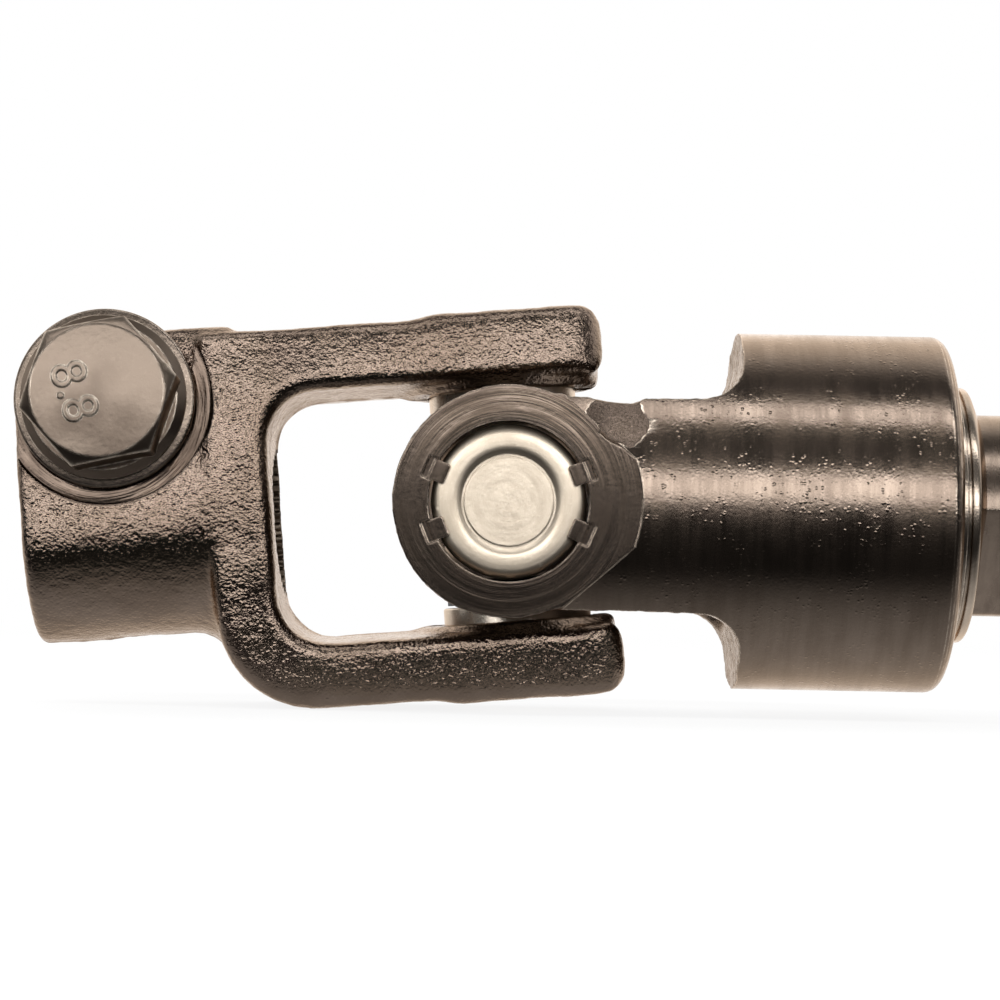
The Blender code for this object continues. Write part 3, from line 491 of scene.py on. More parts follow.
def blend(tree, mask, low, high):
    """Colour from low to high by a mask; each end is a colour or a socket."""
    made = node(tree, "ShaderNodeMix", data_type="RGBA")
    wire(tree, mask, made.inputs["Factor"])
    for label, value in (("A", low), ("B", high)):
        socket = next(s for s in made.inputs if s.name == label and s.type == "RGBA")
        if isinstance(value, tuple):
            socket.default_value = (*value, 1.0)
        else:
            wire(tree, value, socket)
    return next(s for s in made.outputs if s.type == "RGBA")


def metal(name, dark, light, worn, metallic=1.0, roughness=(0.3, 0.45), grain=0.0004, skin=0.00003,
          marks=None, pitch=0.0002, cut=0.000004, streaks=0.5, wear=0.0003, least_bend=0.02, blister=0.0,
          flecks=0.4):
    """A metal finish. marks is (axis, centre) of the tool marks; skin, cut and blister are depths."""
    made = bpy.data.materials.new(name)
    made.use_nodes = True
    tree = made.node_tree
    shader = tree.nodes["Principled BSDF"]
    shader.inputs["Metallic"].default_value = metallic
    if metallic:
        shader.inputs["Specular Tint"].default_value = (1.0, 0.86, 0.74, 1)
    place = node(tree, "ShaderNodeTexCoord").outputs["Object"]
    skin_out = use(tree, SKIN, place, Grain=grain)
    wear_out = use(tree, WEAR, place, **{"Width": wear, "Least Bend": least_bend})
    tone = math_node(tree, "ADD", math_node(tree, "MULTIPLY", skin_out["Patch"], 1 - flecks),
                     math_node(tree, "MULTIPLY", skin_out["Fleck"], flecks))
    normal = wear_out["Normal"]
    bump = node(tree, "ShaderNodeBump", {"Strength": 1.0, "Distance": skin})
    wire(tree, skin_out["Height"], bump.inputs["Height"])
    wire(tree, normal, bump.inputs["Normal"])
    normal = bump.outputs[0]
    if blister:
        bump = node(tree, "ShaderNodeBump", {"Strength": 1.0, "Distance": blister})
        wire(tree, use(tree, BLISTERS, place)["Height"], bump.inputs["Height"])
        wire(tree, normal, bump.inputs["Normal"])
        normal = bump.outputs[0]
    if marks:
        axis, centre = marks
        turn = {"X": Euler((0, -math.pi / 2, 0)), "Y": Euler((math.pi / 2, 0, 0)), "Z": Euler((0, 0, 0))}[axis]
        shift = -(turn.to_matrix() @ Vector(centre))
        mapping = node(tree, "ShaderNodeMapping", {"Rotation": turn, "Location": shift})
        wire(tree, place, mapping.inputs["Vector"])
        cut_out = use(tree, TURNING, mapping.outputs[0], Pitch=pitch)
        tone = math_node(tree, "ADD", math_node(tree, "MULTIPLY", tone, 1 - streaks),
                         math_node(tree, "MULTIPLY", ramp(tree, cut_out["Streak"], 0.3, 0.7), streaks))
        bump = node(tree, "ShaderNodeBump", {"Strength": 1.0, "Distance": cut})
        wire(tree, cut_out["Height"], bump.inputs["Height"])
        wire(tree, normal, bump.inputs["Normal"])
        normal = bump.outputs[0]
    wire(tree, normal, shader.inputs["Normal"])
    wire(tree, blend(tree, wear_out["Mask"], blend(tree, tone, dark, light), worn), shader.inputs["Base Color"])
    wire(tree, ramp(tree, tone, 0.0, 1.0, roughness[1], roughness[0]), shader.inputs["Roughness"])
    return made


YOKE_CENTRES = {"near": NEAR, "far": FAR}
yoke_paint = metal("yoke_paint", (0.115, 0.086, 0.067), (0.15, 0.115, 0.092), (0.24, 0.19, 0.155),
                   roughness=(0.10, 0.17), grain=0.00048, skin=0.00010, wear=0.0004)
bore_steel = metal("bore_steel", (0.10, 0.08, 0.062), (0.22, 0.175, 0.135), (0.3, 0.24, 0.19),
                   roughness=(0.3, 0.4), skin=0.00001)
upright_cup_steel = metal("upright_cup_steel", (0.46, 0.40, 0.335), (0.62, 0.55, 0.47), (0.72, 0.65, 0.56),
                          roughness=(0.26, 0.34), grain=0.0005, skin=0.000008, wear=0.0002)
bolt_steel = metal("bolt_steel", (0.085, 0.065, 0.051), (0.130, 0.103, 0.082), (0.62, 0.54, 0.45),
                   roughness=(0.30, 0.38), grain=0.0009, skin=0.000022, wear=0.0003, least_bend=0.003,
                   flecks=0.12)
washer_steel = metal("washer_steel", (0.07, 0.055, 0.043), (0.16, 0.128, 0.104), (0.36, 0.30, 0.25),
                     roughness=(0.20, 0.30), grain=0.0005, skin=0.00002, wear=0.0003,
                     least_bend=0.006)
ring_steel = metal("ring_steel", (0.22, 0.18, 0.145), (0.40, 0.335, 0.275), (0.62, 0.54, 0.46),
                   roughness=(0.16, 0.26), skin=0.000012, marks=("X", NEAR), pitch=0.0002, wear=0.0003)
shaft_steel = metal("shaft_steel", (0.10, 0.077, 0.062), (0.165, 0.130, 0.104), (0.42, 0.35, 0.28),
                    roughness=(0.22, 0.30), grain=0.0005, skin=0.00001, marks=("X", NEAR), pitch=0.00022, wear=0.0003)
cross_steel = metal("cross_steel", (0.12, 0.095, 0.075), (0.24, 0.195, 0.155), (0.4, 0.33, 0.27),
                    roughness=(0.25, 0.35), skin=0.00003)
seal_rubber = metal("seal_rubber", (0.018, 0.016, 0.014), (0.035, 0.031, 0.027), (0.06, 0.054, 0.047),
                    metallic=0.0, roughness=(0.45, 0.6), grain=0.0003, skin=0.00001)
nylon = metal("nylon", (0.62, 0.59, 0.50), (0.76, 0.73, 0.64), (0.8, 0.77, 0.68), metallic=0.0,
              roughness=(0.35, 0.5), grain=0.0006, skin=0.00001)


def shaded_seat_paint(side, place):
    """Paint worn thin over the tool marks round a clamp yoke's bolt, its colours darkened as painted shade in the
    recessed seat and on its wall.
    """
    # These dark colours are painted shade of the recessed seat and its wall.
    return metal(f"{side}_shaded_seat_paint", (0.030, 0.022, 0.017), (0.088, 0.067, 0.053), (0.30, 0.235, 0.18),
                 roughness=(0.12, 0.18), skin=0.00001, wear=0.0003, streaks=0.8,
                 marks=("Y", place @ TILT @ Vector((-BOLT_PLACE, 0, BOLT_HEIGHT))), pitch=0.00025, cut=0.00003)


def cup_steel(side):
    return metal(f"{side}_cup_steel", (0.40, 0.34, 0.268), (0.52, 0.45, 0.365), (0.66, 0.59, 0.50),
                 roughness=(0.34, 0.44), grain=0.0005, skin=0.000010, marks=("Y", YOKE_CENTRES[side]), pitch=0.00016,
                 cut=0.000006, wear=0.0002)


def yoke_oxides(side):
    """Black oxide as forged, as turned round the shaft, and as faced round the cups."""
    centre = YOKE_CENTRES[side]
    forged = metal(f"{side}_forged_oxide", (0.07, 0.053, 0.042), (0.15, 0.115, 0.092), (0.26, 0.21, 0.17),
                   roughness=(0.18, 0.28), grain=0.0004, skin=0.00014)
    barrel = metal(f"{side}_turned_oxide", (0.115, 0.088, 0.069), (0.165, 0.130, 0.105), (0.46, 0.39, 0.32),
                   roughness=(0.13, 0.27), grain=0.0005, skin=0.000014, marks=("X", centre),
                   pitch=0.0003, cut=0.000012, streaks=0.5, wear=0.0003, least_bend=0.002, blister=0.00003)
    faced = metal(f"{side}_faced_oxide", (0.046, 0.035, 0.027), (0.122, 0.095, 0.076), (0.40, 0.33, 0.27),
                  roughness=(0.13, 0.20), grain=0.0008, skin=0.000005, marks=("Y", centre),
                  pitch=0.00024, cut=0.000012, streaks=0.8, wear=0.0003, least_bend=0.005, flecks=0.1)
    return forged, barrel, faced


# Clamp yokes

def fork_shell():
    """Half of the fork's U with its draft, mirrored about the parting plane."""
    bm = slab([
        (EAR_END, EAR_FACE, 0.003), (-0.008, EAR_FACE, 0.003), (-0.011, FORK_FACE, 0.003),
        (-BRIDGE_BACK, FORK_FACE, 0), (-BRIDGE_BACK, -FORK_FACE, 0.0125), (-0.011, -FORK_FACE, 0.003),
        (-0.008, -EAR_FACE, 0.003), (EAR_END, -EAR_FACE, 0.003),
        (EAR_END, -WINDOW_HEIGHT, 0.003), (-WINDOW_DEPTH, -WINDOW_HEIGHT, 0.006),
        (-WINDOW_DEPTH, WINDOW_HEIGHT, 0.006), (EAR_END, WINDOW_HEIGHT, 0.003),
    ], "Y", -FORK_WIDTH, 0)
    inside = WINDOW_HEIGHT + 1e-5
    for vert in bm.verts:
        x, y, z = vert.co
        if y < -FORK_WIDTH / 2 and abs(z) < inside and x > -WINDOW_DEPTH - 1e-5:
            open_by = DRAFT / WINDOW_HEIGHT
            vert.co.z = z * (1 + open_by)
            vert.co.x = x - DRAFT * max(0.0, min(1.0, -x / WINDOW_DEPTH))
    flat = [e for e in rim(bm, "Y", -FORK_WIDTH) if not all(v.co.x < -BRIDGE_BACK + 1e-5 for v in e.verts)]
    bevel(bm, flat, 0.0014, 3)
    for vert in bm.verts:
        if vert.co.x < -BRIDGE_BACK + 1e-5 and vert.co.y < -FORK_WIDTH + 1e-5:
            vert.co.y += 0.0007
    other = bm.copy()
    bmesh.ops.scale(other, vec=(1, -1, 1), verts=other.verts)
    bmesh.ops.reverse_faces(other, faces=other.faces)
    return joined(bm, other)


def hub_shell():
    hub = turned([(0, -HUB_END), (HUB_RADIUS, -HUB_END), (HUB_RADIUS, -0.034), (0, -0.034)], "X", 64)
    bevel(hub, rim(hub, "X", -HUB_END, HUB_RADIUS), 0.0008)
    lugs = slab([(-HUB_END, 0, 0), (-0.034, 0, 0), (-0.034, LUG_TOP, 0), (-HUB_END, LUG_TOP, 0.0085)],
                "Y", -HUB_RADIUS, HUB_RADIUS)
    tops = [e for e in lugs.edges if abs(abs(e.verts[0].co.y) - HUB_RADIUS) < 1e-6
            and abs(e.verts[0].co.y - e.verts[1].co.y) < 1e-6
            and all(v.co.z > LUG_TOP - 0.009 for v in e.verts)]
    bevel(lugs, tops, 0.0022, 4)
    neck = turned([(0, -0.0375), (HUB_RADIUS + 0.0022, -0.0375), (HUB_RADIUS + 0.0008, -0.0388),
                   (HUB_RADIUS + 0.0001, -0.0405), (0, -0.0405)], "X", 64)
    bmesh.ops.scale(neck, vec=(1, FORK_WIDTH / (HUB_RADIUS + 0.0022), 1), verts=neck.verts)
    return laid(joined(hub, lugs, neck), TILT)


def stake_tools(face, axis):
    """Punch marks and the tongues that they push over the cup, at four places round it."""
    dents = []
    tongues = []
    for degrees in (22, 158, 202, 338):
        turn = Matrix.Rotation(math.radians(degrees), 4, "Z")
        dent = slab([(0.0096, -0.0014, 0.0003), (0.0110, -0.0014, 0.0002), (0.0110, 0.0014, 0.0002),
                     (0.0096, 0.0014, 0.0003)], "Z", face - 0.00045, face + 0.001)
        tongue = slab([(0.0082, -0.0013, 0.0003), (0.0102, -0.0013, 0), (0.0102, 0.0013, 0),
                       (0.0082, 0.0013, 0.0003)], "Z", face - 0.0011, face - 0.00022)
        dents.append(laid(dent, turn))
        tongues.append(laid(tongue, turn))
    stand = {"Z": Matrix.Identity(4), "-Z": Matrix.Rotation(math.pi, 4, "X"),
             "-Y": Matrix.Rotation(math.pi / 2, 4, "X"), "Y": Matrix.Rotation(-math.pi / 2, 4, "X")}[axis]
    return laid(joined(*dents), stand), laid(joined(*tongues), stand)


def splined_bore():
    """The cutter of the hub's splined bore."""
    bm = bmesh.new()
    ring = bmesh.ops.create_circle(bm, cap_ends=True, radius=HUB_BORE, segments=144)["verts"]
    bm.verts.ensure_lookup_table()
    for index, vert in enumerate(ring):
        if index % 4 in (0, 1):
            vert.co *= 0.955
    grown = bmesh.ops.extrude_face_region(bm, geom=list(bm.faces))["geom"]
    raised = [item for item in grown if isinstance(item, bmesh.types.BMVert)]
    bmesh.ops.translate(bm, verts=raised, vec=(0, 0, 0.04))
    laid(bm, Matrix.Rotation(-math.pi / 2, 4, "Y"))
    return moved(bm, (-0.0256, 0, 0))


def clamp_yoke(shaded_seat_finish):
    made = piece_of("clamp_yoke", fork_shell(), yoke_paint)
    plan = [(-0.05, -FORK_WIDTH, 0), (EAR_END, -FORK_WIDTH, 0.0042), (EAR_END, FORK_WIDTH, 0.0042),
            (-0.05, FORK_WIDTH, 0)]
    machine(made, slab(plan, "Z", -0.03, 0.03), yoke_paint, "INTERSECT")
    whole = bmesh.new()
    whole.from_mesh(made.data)
    joined(whole, hub_shell(), ear_pads()).to_mesh(made.data)
    forge(made, 0.00045, 26, 0.00005, 0.00014, 0.0003, crown=0.12)
    bores = joined(turned([(0, -0.03), (CUP_RADIUS + BORE_CLEARANCE, -0.03),
                           (CUP_RADIUS + BORE_CLEARANCE, 0.03), (0, 0.03)], "Z"), splined_bore())
    machine(made, bores, bore_steel)
    slit = slab([(-0.066, 0, 0), (-0.039, 0, 0), (-0.039, 0.03, 0), (-0.066, 0.03, 0)], "Y", -0.0015, 0.0015)
    machine(made, laid(slit, TILT), bore_steel)
    hole = BOLT_RADIUS + BORE_CLEARANCE
    edge = -BOLT_SEAT - 0.0009
    seat = turned([(0, 0.02), (hole, 0.02), (hole, -BOLT_SEAT), (SEAT_RADIUS, -BOLT_SEAT), (SEAT_RADIUS, edge),
                   (SEAT_RADIUS + 0.0040, edge - 0.0023), (0, edge - 0.0023)], "Y",
                  rounds=[(SEAT_RADIUS, -BOLT_SEAT, 0.00025)])
    # The seat's cut faces take the seat paint, which is darkened as painted shade of the recess.
    machine(made, laid(moved(seat, (-BOLT_PLACE, 0, BOLT_HEIGHT)), TILT), shaded_seat_finish)
    for axis in ("Z", "-Z"):
        dents, tongues = stake_tools(CUP_FACE + 0.0004, axis)
        dents.free()
        machine(made, tongues, yoke_paint, "UNION")
    shade(made)
    return made


def ear_pads():
    pads = [turned([(0, side * 0.0147), (0.0125, side * 0.0147), (0.0125, side * 0.02), (0, side * 0.02)], "Z", 48)
            for side in (-1, 1)]
    return joined(*pads)


# Joint yokes

def joint_yoke(name, profile, finishes, cutters=()):
    """Forged arms on a barrel, turned to the profile, with spot-faced eyes and cup bores."""
    forged, barrel, faced = finishes
    end = max(place for _, place in profile)
    blank = [(0, -0.0182), (BARREL + 0.0004, -0.0182), (BARREL + 0.0004, end), (0, end)]
    rough = piece_of(name, joined(turned(blank, "X", 96), bosses(EYE_RADIUS, 0.0231)), forged)
    cut_arms(rough, forged)
    forge(rough, 0.0004, 4, 0.00010, 0.00020, sink=scar)
    clean = piece_of("clean", turned(divided(profile), "X"), barrel)
    machine(clean, bosses(EYE_RADIUS, EYE_FACE + 0.0001), faced, "UNION")
    lathe = bmesh.new()
    lathe.from_mesh(clean.data)
    shared = piece_of("lathe", lathe)
    shared.data.materials.append(barrel)
    shared.data.materials.append(faced)
    mesh = clean.data
    bpy.data.objects.remove(clean)
    modifier = rough.modifiers.new("turned", "BOOLEAN")
    modifier.operation = "INTERSECT"
    modifier.object = shared
    modifier.solver = "MANIFOLD"
    modifier.material_mode = "TRANSFER"
    settle(rough)
    used = shared.data
    bpy.data.objects.remove(shared)
    bpy.data.meshes.remove(used)
    bpy.data.meshes.remove(mesh)
    bore = turned([(0, -0.03), (CUP_RADIUS + BORE_CLEARANCE, -0.03), (CUP_RADIUS + BORE_CLEARANCE, 0.03),
                   (0, 0.03)], "Y")
    machine(rough, bore, faced)
    faces = [turned([(0, side * EYE_FACE), (SPOT_RADIUS, side * EYE_FACE), (SPOT_RADIUS, side * 0.03),
                     (0, side * 0.03)], "Y") for side in (-1, 1)]
    machine(rough, joined(*faces), faced)
    for axis in ("Y", "-Y"):
        dents, tongues = stake_tools(EYE_FACE, axis)
        machine(rough, dents, faced)
        machine(rough, tongues, faced, "UNION")
    for cutter in cutters:
        machine(rough, cutter, barrel)
    shade(rough)
    return rough


def scar(place):
    """How far the forging falls short of the turned skin, in a patch above and beside the near eye."""
    off = Vector((place.x - 0.0130, place.z - 0.0105))
    if place.y > -0.0155 or place.xz.length < EYE_RADIUS + 0.0002:
        return 0.0
    edge = 0.0048 + 0.0015 * noise.noise(place * 300.0)
    return 0.0006 * max(0.0, min(1.0, (edge - off.length) / 0.002))


def bosses(radius, face):
    """The eyes' flat bosses, with straight sides that run to the spot face's edge."""
    corner = Vector((0.01544, 0.0053))
    reach = corner.length
    touch_angle = math.atan2(corner.y, corner.x) + math.acos(radius / reach)
    touch = Vector((math.cos(touch_angle), math.sin(touch_angle))) * radius
    beyond = touch + (touch - corner)
    wide = slab([(corner.x, corner.y, 0), (touch.x, touch.y, 0), (beyond.x, beyond.y, 0),
                 (-0.0182, 0.0182, 0), (-0.0182, -0.0182, 0), (beyond.x, -beyond.y, 0), (touch.x, -touch.y, 0),
                 (corner.x, -corner.y, 0)], "Y", -face, face)
    return wide


def cut_arms(piece, finish):
    """Cuts the arms' sides, their eyes and the slot between them out of the blank."""
    far = 0.027
    eye = math.asin(ARM_WIDTH / EYE_RADIUS)
    ring = turned([(EYE_RADIUS, -far), (EYE_RADIUS + 0.02, -far), (EYE_RADIUS + 0.02, far), (EYE_RADIUS, far)],
                  "Y", 128, ring=True)
    bmesh.ops.bisect_plane(ring, geom=list(ring.verts) + list(ring.edges) + list(ring.faces),
                           plane_co=(EYE_RADIUS * math.cos(eye), 0, 0), plane_no=(1, 0, 0), clear_outer=True)
    bmesh.ops.holes_fill(ring, edges=[e for e in ring.edges if e.is_boundary])
    machine(piece, ring, finish)
    reach = EYE_RADIUS * math.cos(eye) - 0.0002
    for side in (-1, 1):
        side_cut = slab([(reach, side * ARM_WIDTH, 0), (ARM_ROOT, side * ARM_WIDTH, ARM_FILLET),
                         (ARM_ROOT, side * far, 0), (reach, side * far, 0)], "Y", -far, far)
        machine(piece, side_cut, finish)
    slot = slab([(-far, -ARM_GAP, 0), (ARM_ROOT - 0.0005, -ARM_GAP, 0.003), (ARM_ROOT - 0.0005, ARM_GAP, 0.003),
                 (-far, ARM_GAP, 0)], "Z", -far, far)
    machine(piece, slot, finish)
    deep, high = ARM_RELIEF
    for side in (-1, 1):
        for end in (-1, 1):
            clear = slab([(side * (ARM_GAP - deep), end * (ARM_WIDTH - 2 * high), 0),
                          (side * (ARM_GAP + 2 * deep), end * (ARM_WIDTH + high), 0),
                          (side * (ARM_GAP - deep), end * (ARM_WIDTH + high), 0)],
                         "X", -far, ARM_ROOT - ARM_FILLET)
            machine(piece, clear, finish)


def housing_profile():
    """The near yoke's barrel, which is the isolator's housing, from its fork end round into its bore."""
    turns = [math.radians(15 * step) for step in range(6)]
    edge = [(BARREL - HOUSING_ROUND * (1 - math.cos(turn)), HOUSING_END - HOUSING_ROUND * (1 - math.sin(turn)))
            for turn in turns]
    return [(0, -0.0182), (BARREL, -0.0182), *edge, (LIP_RADIUS, HOUSING_END), (LIP_RADIUS, HOUSING_END - LIP_LENGTH),
            (HOUSING_BORE, HOUSING_END - LIP_LENGTH), (HOUSING_BORE, HOUSING_FLOOR), (0, HOUSING_FLOOR)]


def far_profile():
    shoulder = ARM_ROOT + 0.004
    return [(0, -0.0182), (BARREL, -0.0182), (BARREL, shoulder - 0.0006), (BARREL - 0.0006, shoulder),
            (FAR_HUB_RADIUS, shoulder + 0.005), (FAR_HUB_RADIUS, FAR_HUB_END - 0.001),
            (FAR_HUB_RADIUS - 0.001, FAR_HUB_END), (0, FAR_HUB_END)]


# Small pieces

def cup():
    """A bearing cup along +Z, its face dished inside a groove."""
    low = CUP_FACE - DISH_DEPTH
    profile = [(0, low), (DISH_RADIUS - 0.0005, low), (DISH_RADIUS - 0.00035, low - 0.0001),
               (DISH_RADIUS - 0.00015, low - 0.0001), (DISH_RADIUS, low), (DISH_RADIUS + 0.0003, CUP_FACE - 0.00016),
               (DISH_RADIUS + 0.0006, CUP_FACE - 0.00004), (DISH_RADIUS + 0.0010, CUP_FACE),
               (CUP_RADIUS, CUP_FACE), (CUP_RADIUS, CUP_MOUTH),
               (CUP_BORE, CUP_MOUTH), (CUP_BORE, CUP_FACE - 0.0019), (0, CUP_FACE - 0.0019)]
    return turned(profile, "Z", rounds=[(CUP_RADIUS, CUP_FACE, CUP_ROUND), (CUP_RADIUS, CUP_MOUTH, 0.0003)])


def seal():
    """A lip seal along +Z between the cross's shoulder and the cup."""
    low, high = SHOULDER + 0.0003, CUP_MOUTH - 0.0003
    profile = [(TRUNNION + 0.0003, low), (SEAL_RADIUS - 0.0012, low), (SEAL_RADIUS - 0.0007, low + 0.0007),
               (SEAL_RADIUS, low + 0.0009), (SEAL_RADIUS, high - 0.0008), (SEAL_RADIUS - 0.0004, high - 0.0006),
               (SEAL_RADIUS - 0.0004, high), (TRUNNION + 0.0003, high)]
    return turned(profile, "Z", 96, ring=True)


STANDS = {"front": Matrix.Rotation(math.pi / 2, 4, "X"), "back": Matrix.Rotation(-math.pi / 2, 4, "X"),
          "top": Matrix.Identity(4), "bottom": Matrix.Rotation(math.pi, 4, "X")}


def bearings(side, place, body, names, steel):
    for name in names:
        made = piece_of(f"{side}_{name}_cup_turned", cup(), steel)
        shade(made)
        fit(made, place @ STANDS[name], body, "bright_steel", f"{side}_{name}_cup")
        made = piece_of(f"{side}_{name}_seal_lip", seal(), seal_rubber)
        shade(made)
        fit(made, place @ STANDS[name], body, "dark_rubber", f"{side}_{name}_seal")


def cross():
    tip = CUP_FACE - 0.0022
    half = [(0, tip), (TRUNNION - 0.0005, tip), (TRUNNION, tip - 0.0005), (TRUNNION, SHOULDER), (0.0088, SHOULDER)]
    profile = half + [(radius, -place) for radius, place in reversed(half)]
    made = piece_of("cross", joined(turned(profile, "Y", 64), turned(profile, "Z", 64)), cross_steel)
    forge(made, 0.00035, 4, 0.00002, 0.00004)
    shade(made)
    return made


def strength_figures(place):
    """The strength class 8.8, raised on the head."""
    curve = bpy.data.curves.new("figures", "FONT")
    curve.body = "8.8"
    curve.size = 0.0062
    curve.align_x = "CENTER"
    curve.align_y = "CENTER"
    curve.extrude = 0.00016
    curve.offset = -0.00006
    curve.bevel_depth = 0.00006
    written = bpy.data.objects.new("figures", curve)
    bpy.context.scene.collection.objects.link(written)
    bpy.context.view_layer.update()
    mesh = bpy.data.meshes.new_from_object(written.evaluated_get(bpy.context.evaluated_depsgraph_get()))
    bm = bmesh.new()
    bm.from_mesh(mesh)
    bpy.data.objects.remove(written)
    bpy.data.meshes.remove(mesh)
    bmesh.ops.remove_doubles(bm, verts=bm.verts, dist=1e-6)
    turn = Matrix.Rotation(math.radians(75), 4, "Y") @ Matrix.Rotation(math.pi / 2, 4, "X")
    return laid(bm, Matrix.Translation((-0.0029, place, 0)) @ turn)


def bolt():
    """The pinch bolt along -Y: flanged hexagon head with a turned chamfer, shank and thread."""
    under = BOLT_SEAT + 0.0003 + 0.0012 + 0.0003
    flange = under + 0.0014
    top = flange + 0.0057
    tip = under - 0.0270
    profile = [(0, -flange - 0.0002), (0.0092, -flange - 0.0002), (0.0103, -under - 0.0006), (0.0103, -under),
               (BOLT_RADIUS, -under), (BOLT_RADIUS, -under + 0.008)]
    turns = 10
    pitch = (-tip - 0.001 - (-under + 0.008)) / turns
    for index in range(turns):
        low = -under + 0.008 + index * pitch
        profile += [(BOLT_RADIUS - 0.0006, low + pitch * 0.4), (BOLT_RADIUS - 0.0006, low + pitch * 0.6),
                    (BOLT_RADIUS, low + pitch)]
    profile += [(BOLT_RADIUS - 0.001, -tip), (0, -tip)]
    made = piece_of("bolt", turned(profile, "Y", 96, rounds=[(0.0103, -under, 0.0002)]), bolt_steel)
    corner = 0.0170 / math.sqrt(3)
    hexagon = [(corner * math.cos(math.radians(7.5 + 60 * k)), corner * math.sin(math.radians(7.5 + 60 * k)), 0)
               for k in range(6)]
    head = piece_of("head", slab(hexagon, "Y", -top, -under - 0.0006), bolt_steel)
    slope = math.tan(math.radians(30))
    cone = turned([(0, -top), (0.00815, -top), (0.0125, -top + (0.0125 - 0.00815) * slope), (0.0125, -under),
                   (0, -under)], "Y", rounds=[(0.00815, -top, 0.00015)])
    machine(head, cone, bolt_steel, "INTERSECT")
    shell = bmesh.new()
    shell.from_mesh(head.data)
    mesh = head.data
    bpy.data.objects.remove(head)
    bpy.data.meshes.remove(mesh)
    bmesh.ops.remove_doubles(shell, verts=shell.verts, dist=1e-6)
    bmesh.ops.dissolve_limit(shell, angle_limit=math.radians(1), verts=shell.verts, edges=shell.edges)
    bevel(shell, [e for e in shell.edges if e.is_manifold and e.calc_face_angle() > math.radians(20)], 0.00014, 2)
    machine(made, shell, bolt_steel, "UNION")
    figures = strength_figures(-top)
    whole = bmesh.new()
    whole.from_mesh(made.data)
    joined(whole, figures).to_mesh(made.data)
    shade(made)
    return made


def washer():
    low = -BOLT_SEAT - 0.0003
    high = low - 0.0012
    bore = BOLT_RADIUS + 0.0003
    made = piece_of("washer", turned([(bore, low), (0.01125, low), (0.01125, high), (bore, high)], "Y", ring=True,
                                     rounds=[(0.01125, high, 0.00035), (0.01125, low, 0.0002)]), washer_steel)
    shade(made)
    return made


def retaining_ring():
    start, band = HOUSING_END - 0.0015, HOUSING_END + 0.0003
    end = band + 0.0025
    radius = 0.0165
    groove = band + 0.00095
    inner = TUBE_RADIUS + 0.0003
    profile = [(inner, start), (radius, start), (radius, groove), (radius - 0.0005, groove + 0.0001),
               (radius - 0.0005, groove + 0.0005), (radius, groove + 0.0006), (radius, end),
               (TUBE_RADIUS + 0.0006, end + 0.0012), (inner, end + 0.0012)]
    bm = turned(profile, "X", ring=True, rounds=[(radius, end, 0.0004)])
    press_flats(bm, inner, TUBE_FLAT + 0.0003)
    made = piece_of("retaining_ring_turned", bm, ring_steel)
    shade(made)
    return made


def slip_tube():
    bm = turned([(0.0108, 0.0365), (TUBE_RADIUS, 0.0365), (TUBE_RADIUS, 0.1500), (0.0108, 0.1500)], "X", 192, ring=True,
                rounds=[(TUBE_RADIUS, 0.1500, 0.0004)])
    press_flats(bm, 0.0108, TUBE_FLAT - 0.0022)
    press_flats(bm, TUBE_RADIUS, TUBE_FLAT)
    made = piece_of("slip_tube_drawn", bm, shaft_steel)
    shade(made)
    return made


def slider_shaft():
    bm = turned([(0, 0.0880), (SLIDER_RADIUS, 0.0880), (SLIDER_RADIUS, 0.1940), (0, 0.1940)], "X", 192,
                rounds=[(SLIDER_RADIUS, 0.0880, 0.0004)])
    press_flats(bm, SLIDER_RADIUS, SLIDER_FLAT)
    made = piece_of("slider_shaft_drawn", bm, shaft_steel)
    hole = turned([(0, -0.012), (PIN_RADIUS + 0.0003, -0.012), (PIN_RADIUS + 0.0003, 0.012), (0, 0.012)], "Z", 48)
    machine(made, moved(hole, (0.225 - PIN_PLACE, 0, 0)), shaft_steel)
    shade(made)
    return made


def tube_cap():
    low, mouth = 0.1440, 0.1503
    high = mouth + 0.0035
    inner, way = TUBE_RADIUS + 0.0003, SLIDER_RADIUS + 0.0003
    profile = [(inner, low), (0.0150, low), (0.0150, low + 0.0018), (0.0146, low + 0.0022), (0.0146, low + 0.0032),
               (0.0150, low + 0.0036), (0.0150, high), (way, high), (way, mouth), (inner, mouth)]
    bm = turned(profile, "X", ring=True, rounds=[(0.0150, high, 0.0012), (0.0150, low, 0.0003)])
    press_flats(bm, inner, TUBE_FLAT + 0.0003)
    press_flats(bm, way, SLIDER_FLAT + 0.0003)
    made = piece_of("tube_cap_moulded", bm, seal_rubber)
    shade(made)
    return made


def spring_pin():
    """A rolled pin, open along one side."""
    bm = bmesh.new()
    reach = FAR_HUB_RADIUS + 0.0004
    corners = [(0.0017, -reach + 0.0004), (0.0021, -reach), (PIN_RADIUS, -reach + 0.0007),
               (PIN_RADIUS, reach - 0.0007), (0.0021, reach), (0.0017, reach - 0.0004)]
    verts = [bm.verts.new((radius, 0, place)) for radius, place in corners]
    face = bm.faces.new(verts)
    bmesh.ops.spin(bm, geom=[face, *face.edges, *verts], cent=(0, 0, 0), axis=(0, 0, 1),
                   angle=math.radians(325), steps=48)
    made = piece_of("yoke_spring_pin_rolled", bm, cross_steel)
    shade(made)
    return made


# Assembly

def copy_of(piece, name):
    made = bpy.data.objects.new(name, piece.data.copy())
    bpy.context.scene.collection.objects.link(made)
    return made


def pin_hole():
    hole = turned([(0, -0.02), (PIN_RADIUS + 0.0003, -0.02), (PIN_RADIUS + 0.0003, 0.02), (0, 0.02)], "Z", 48)
    return moved(hole, (PIN_PLACE, 0, 0))


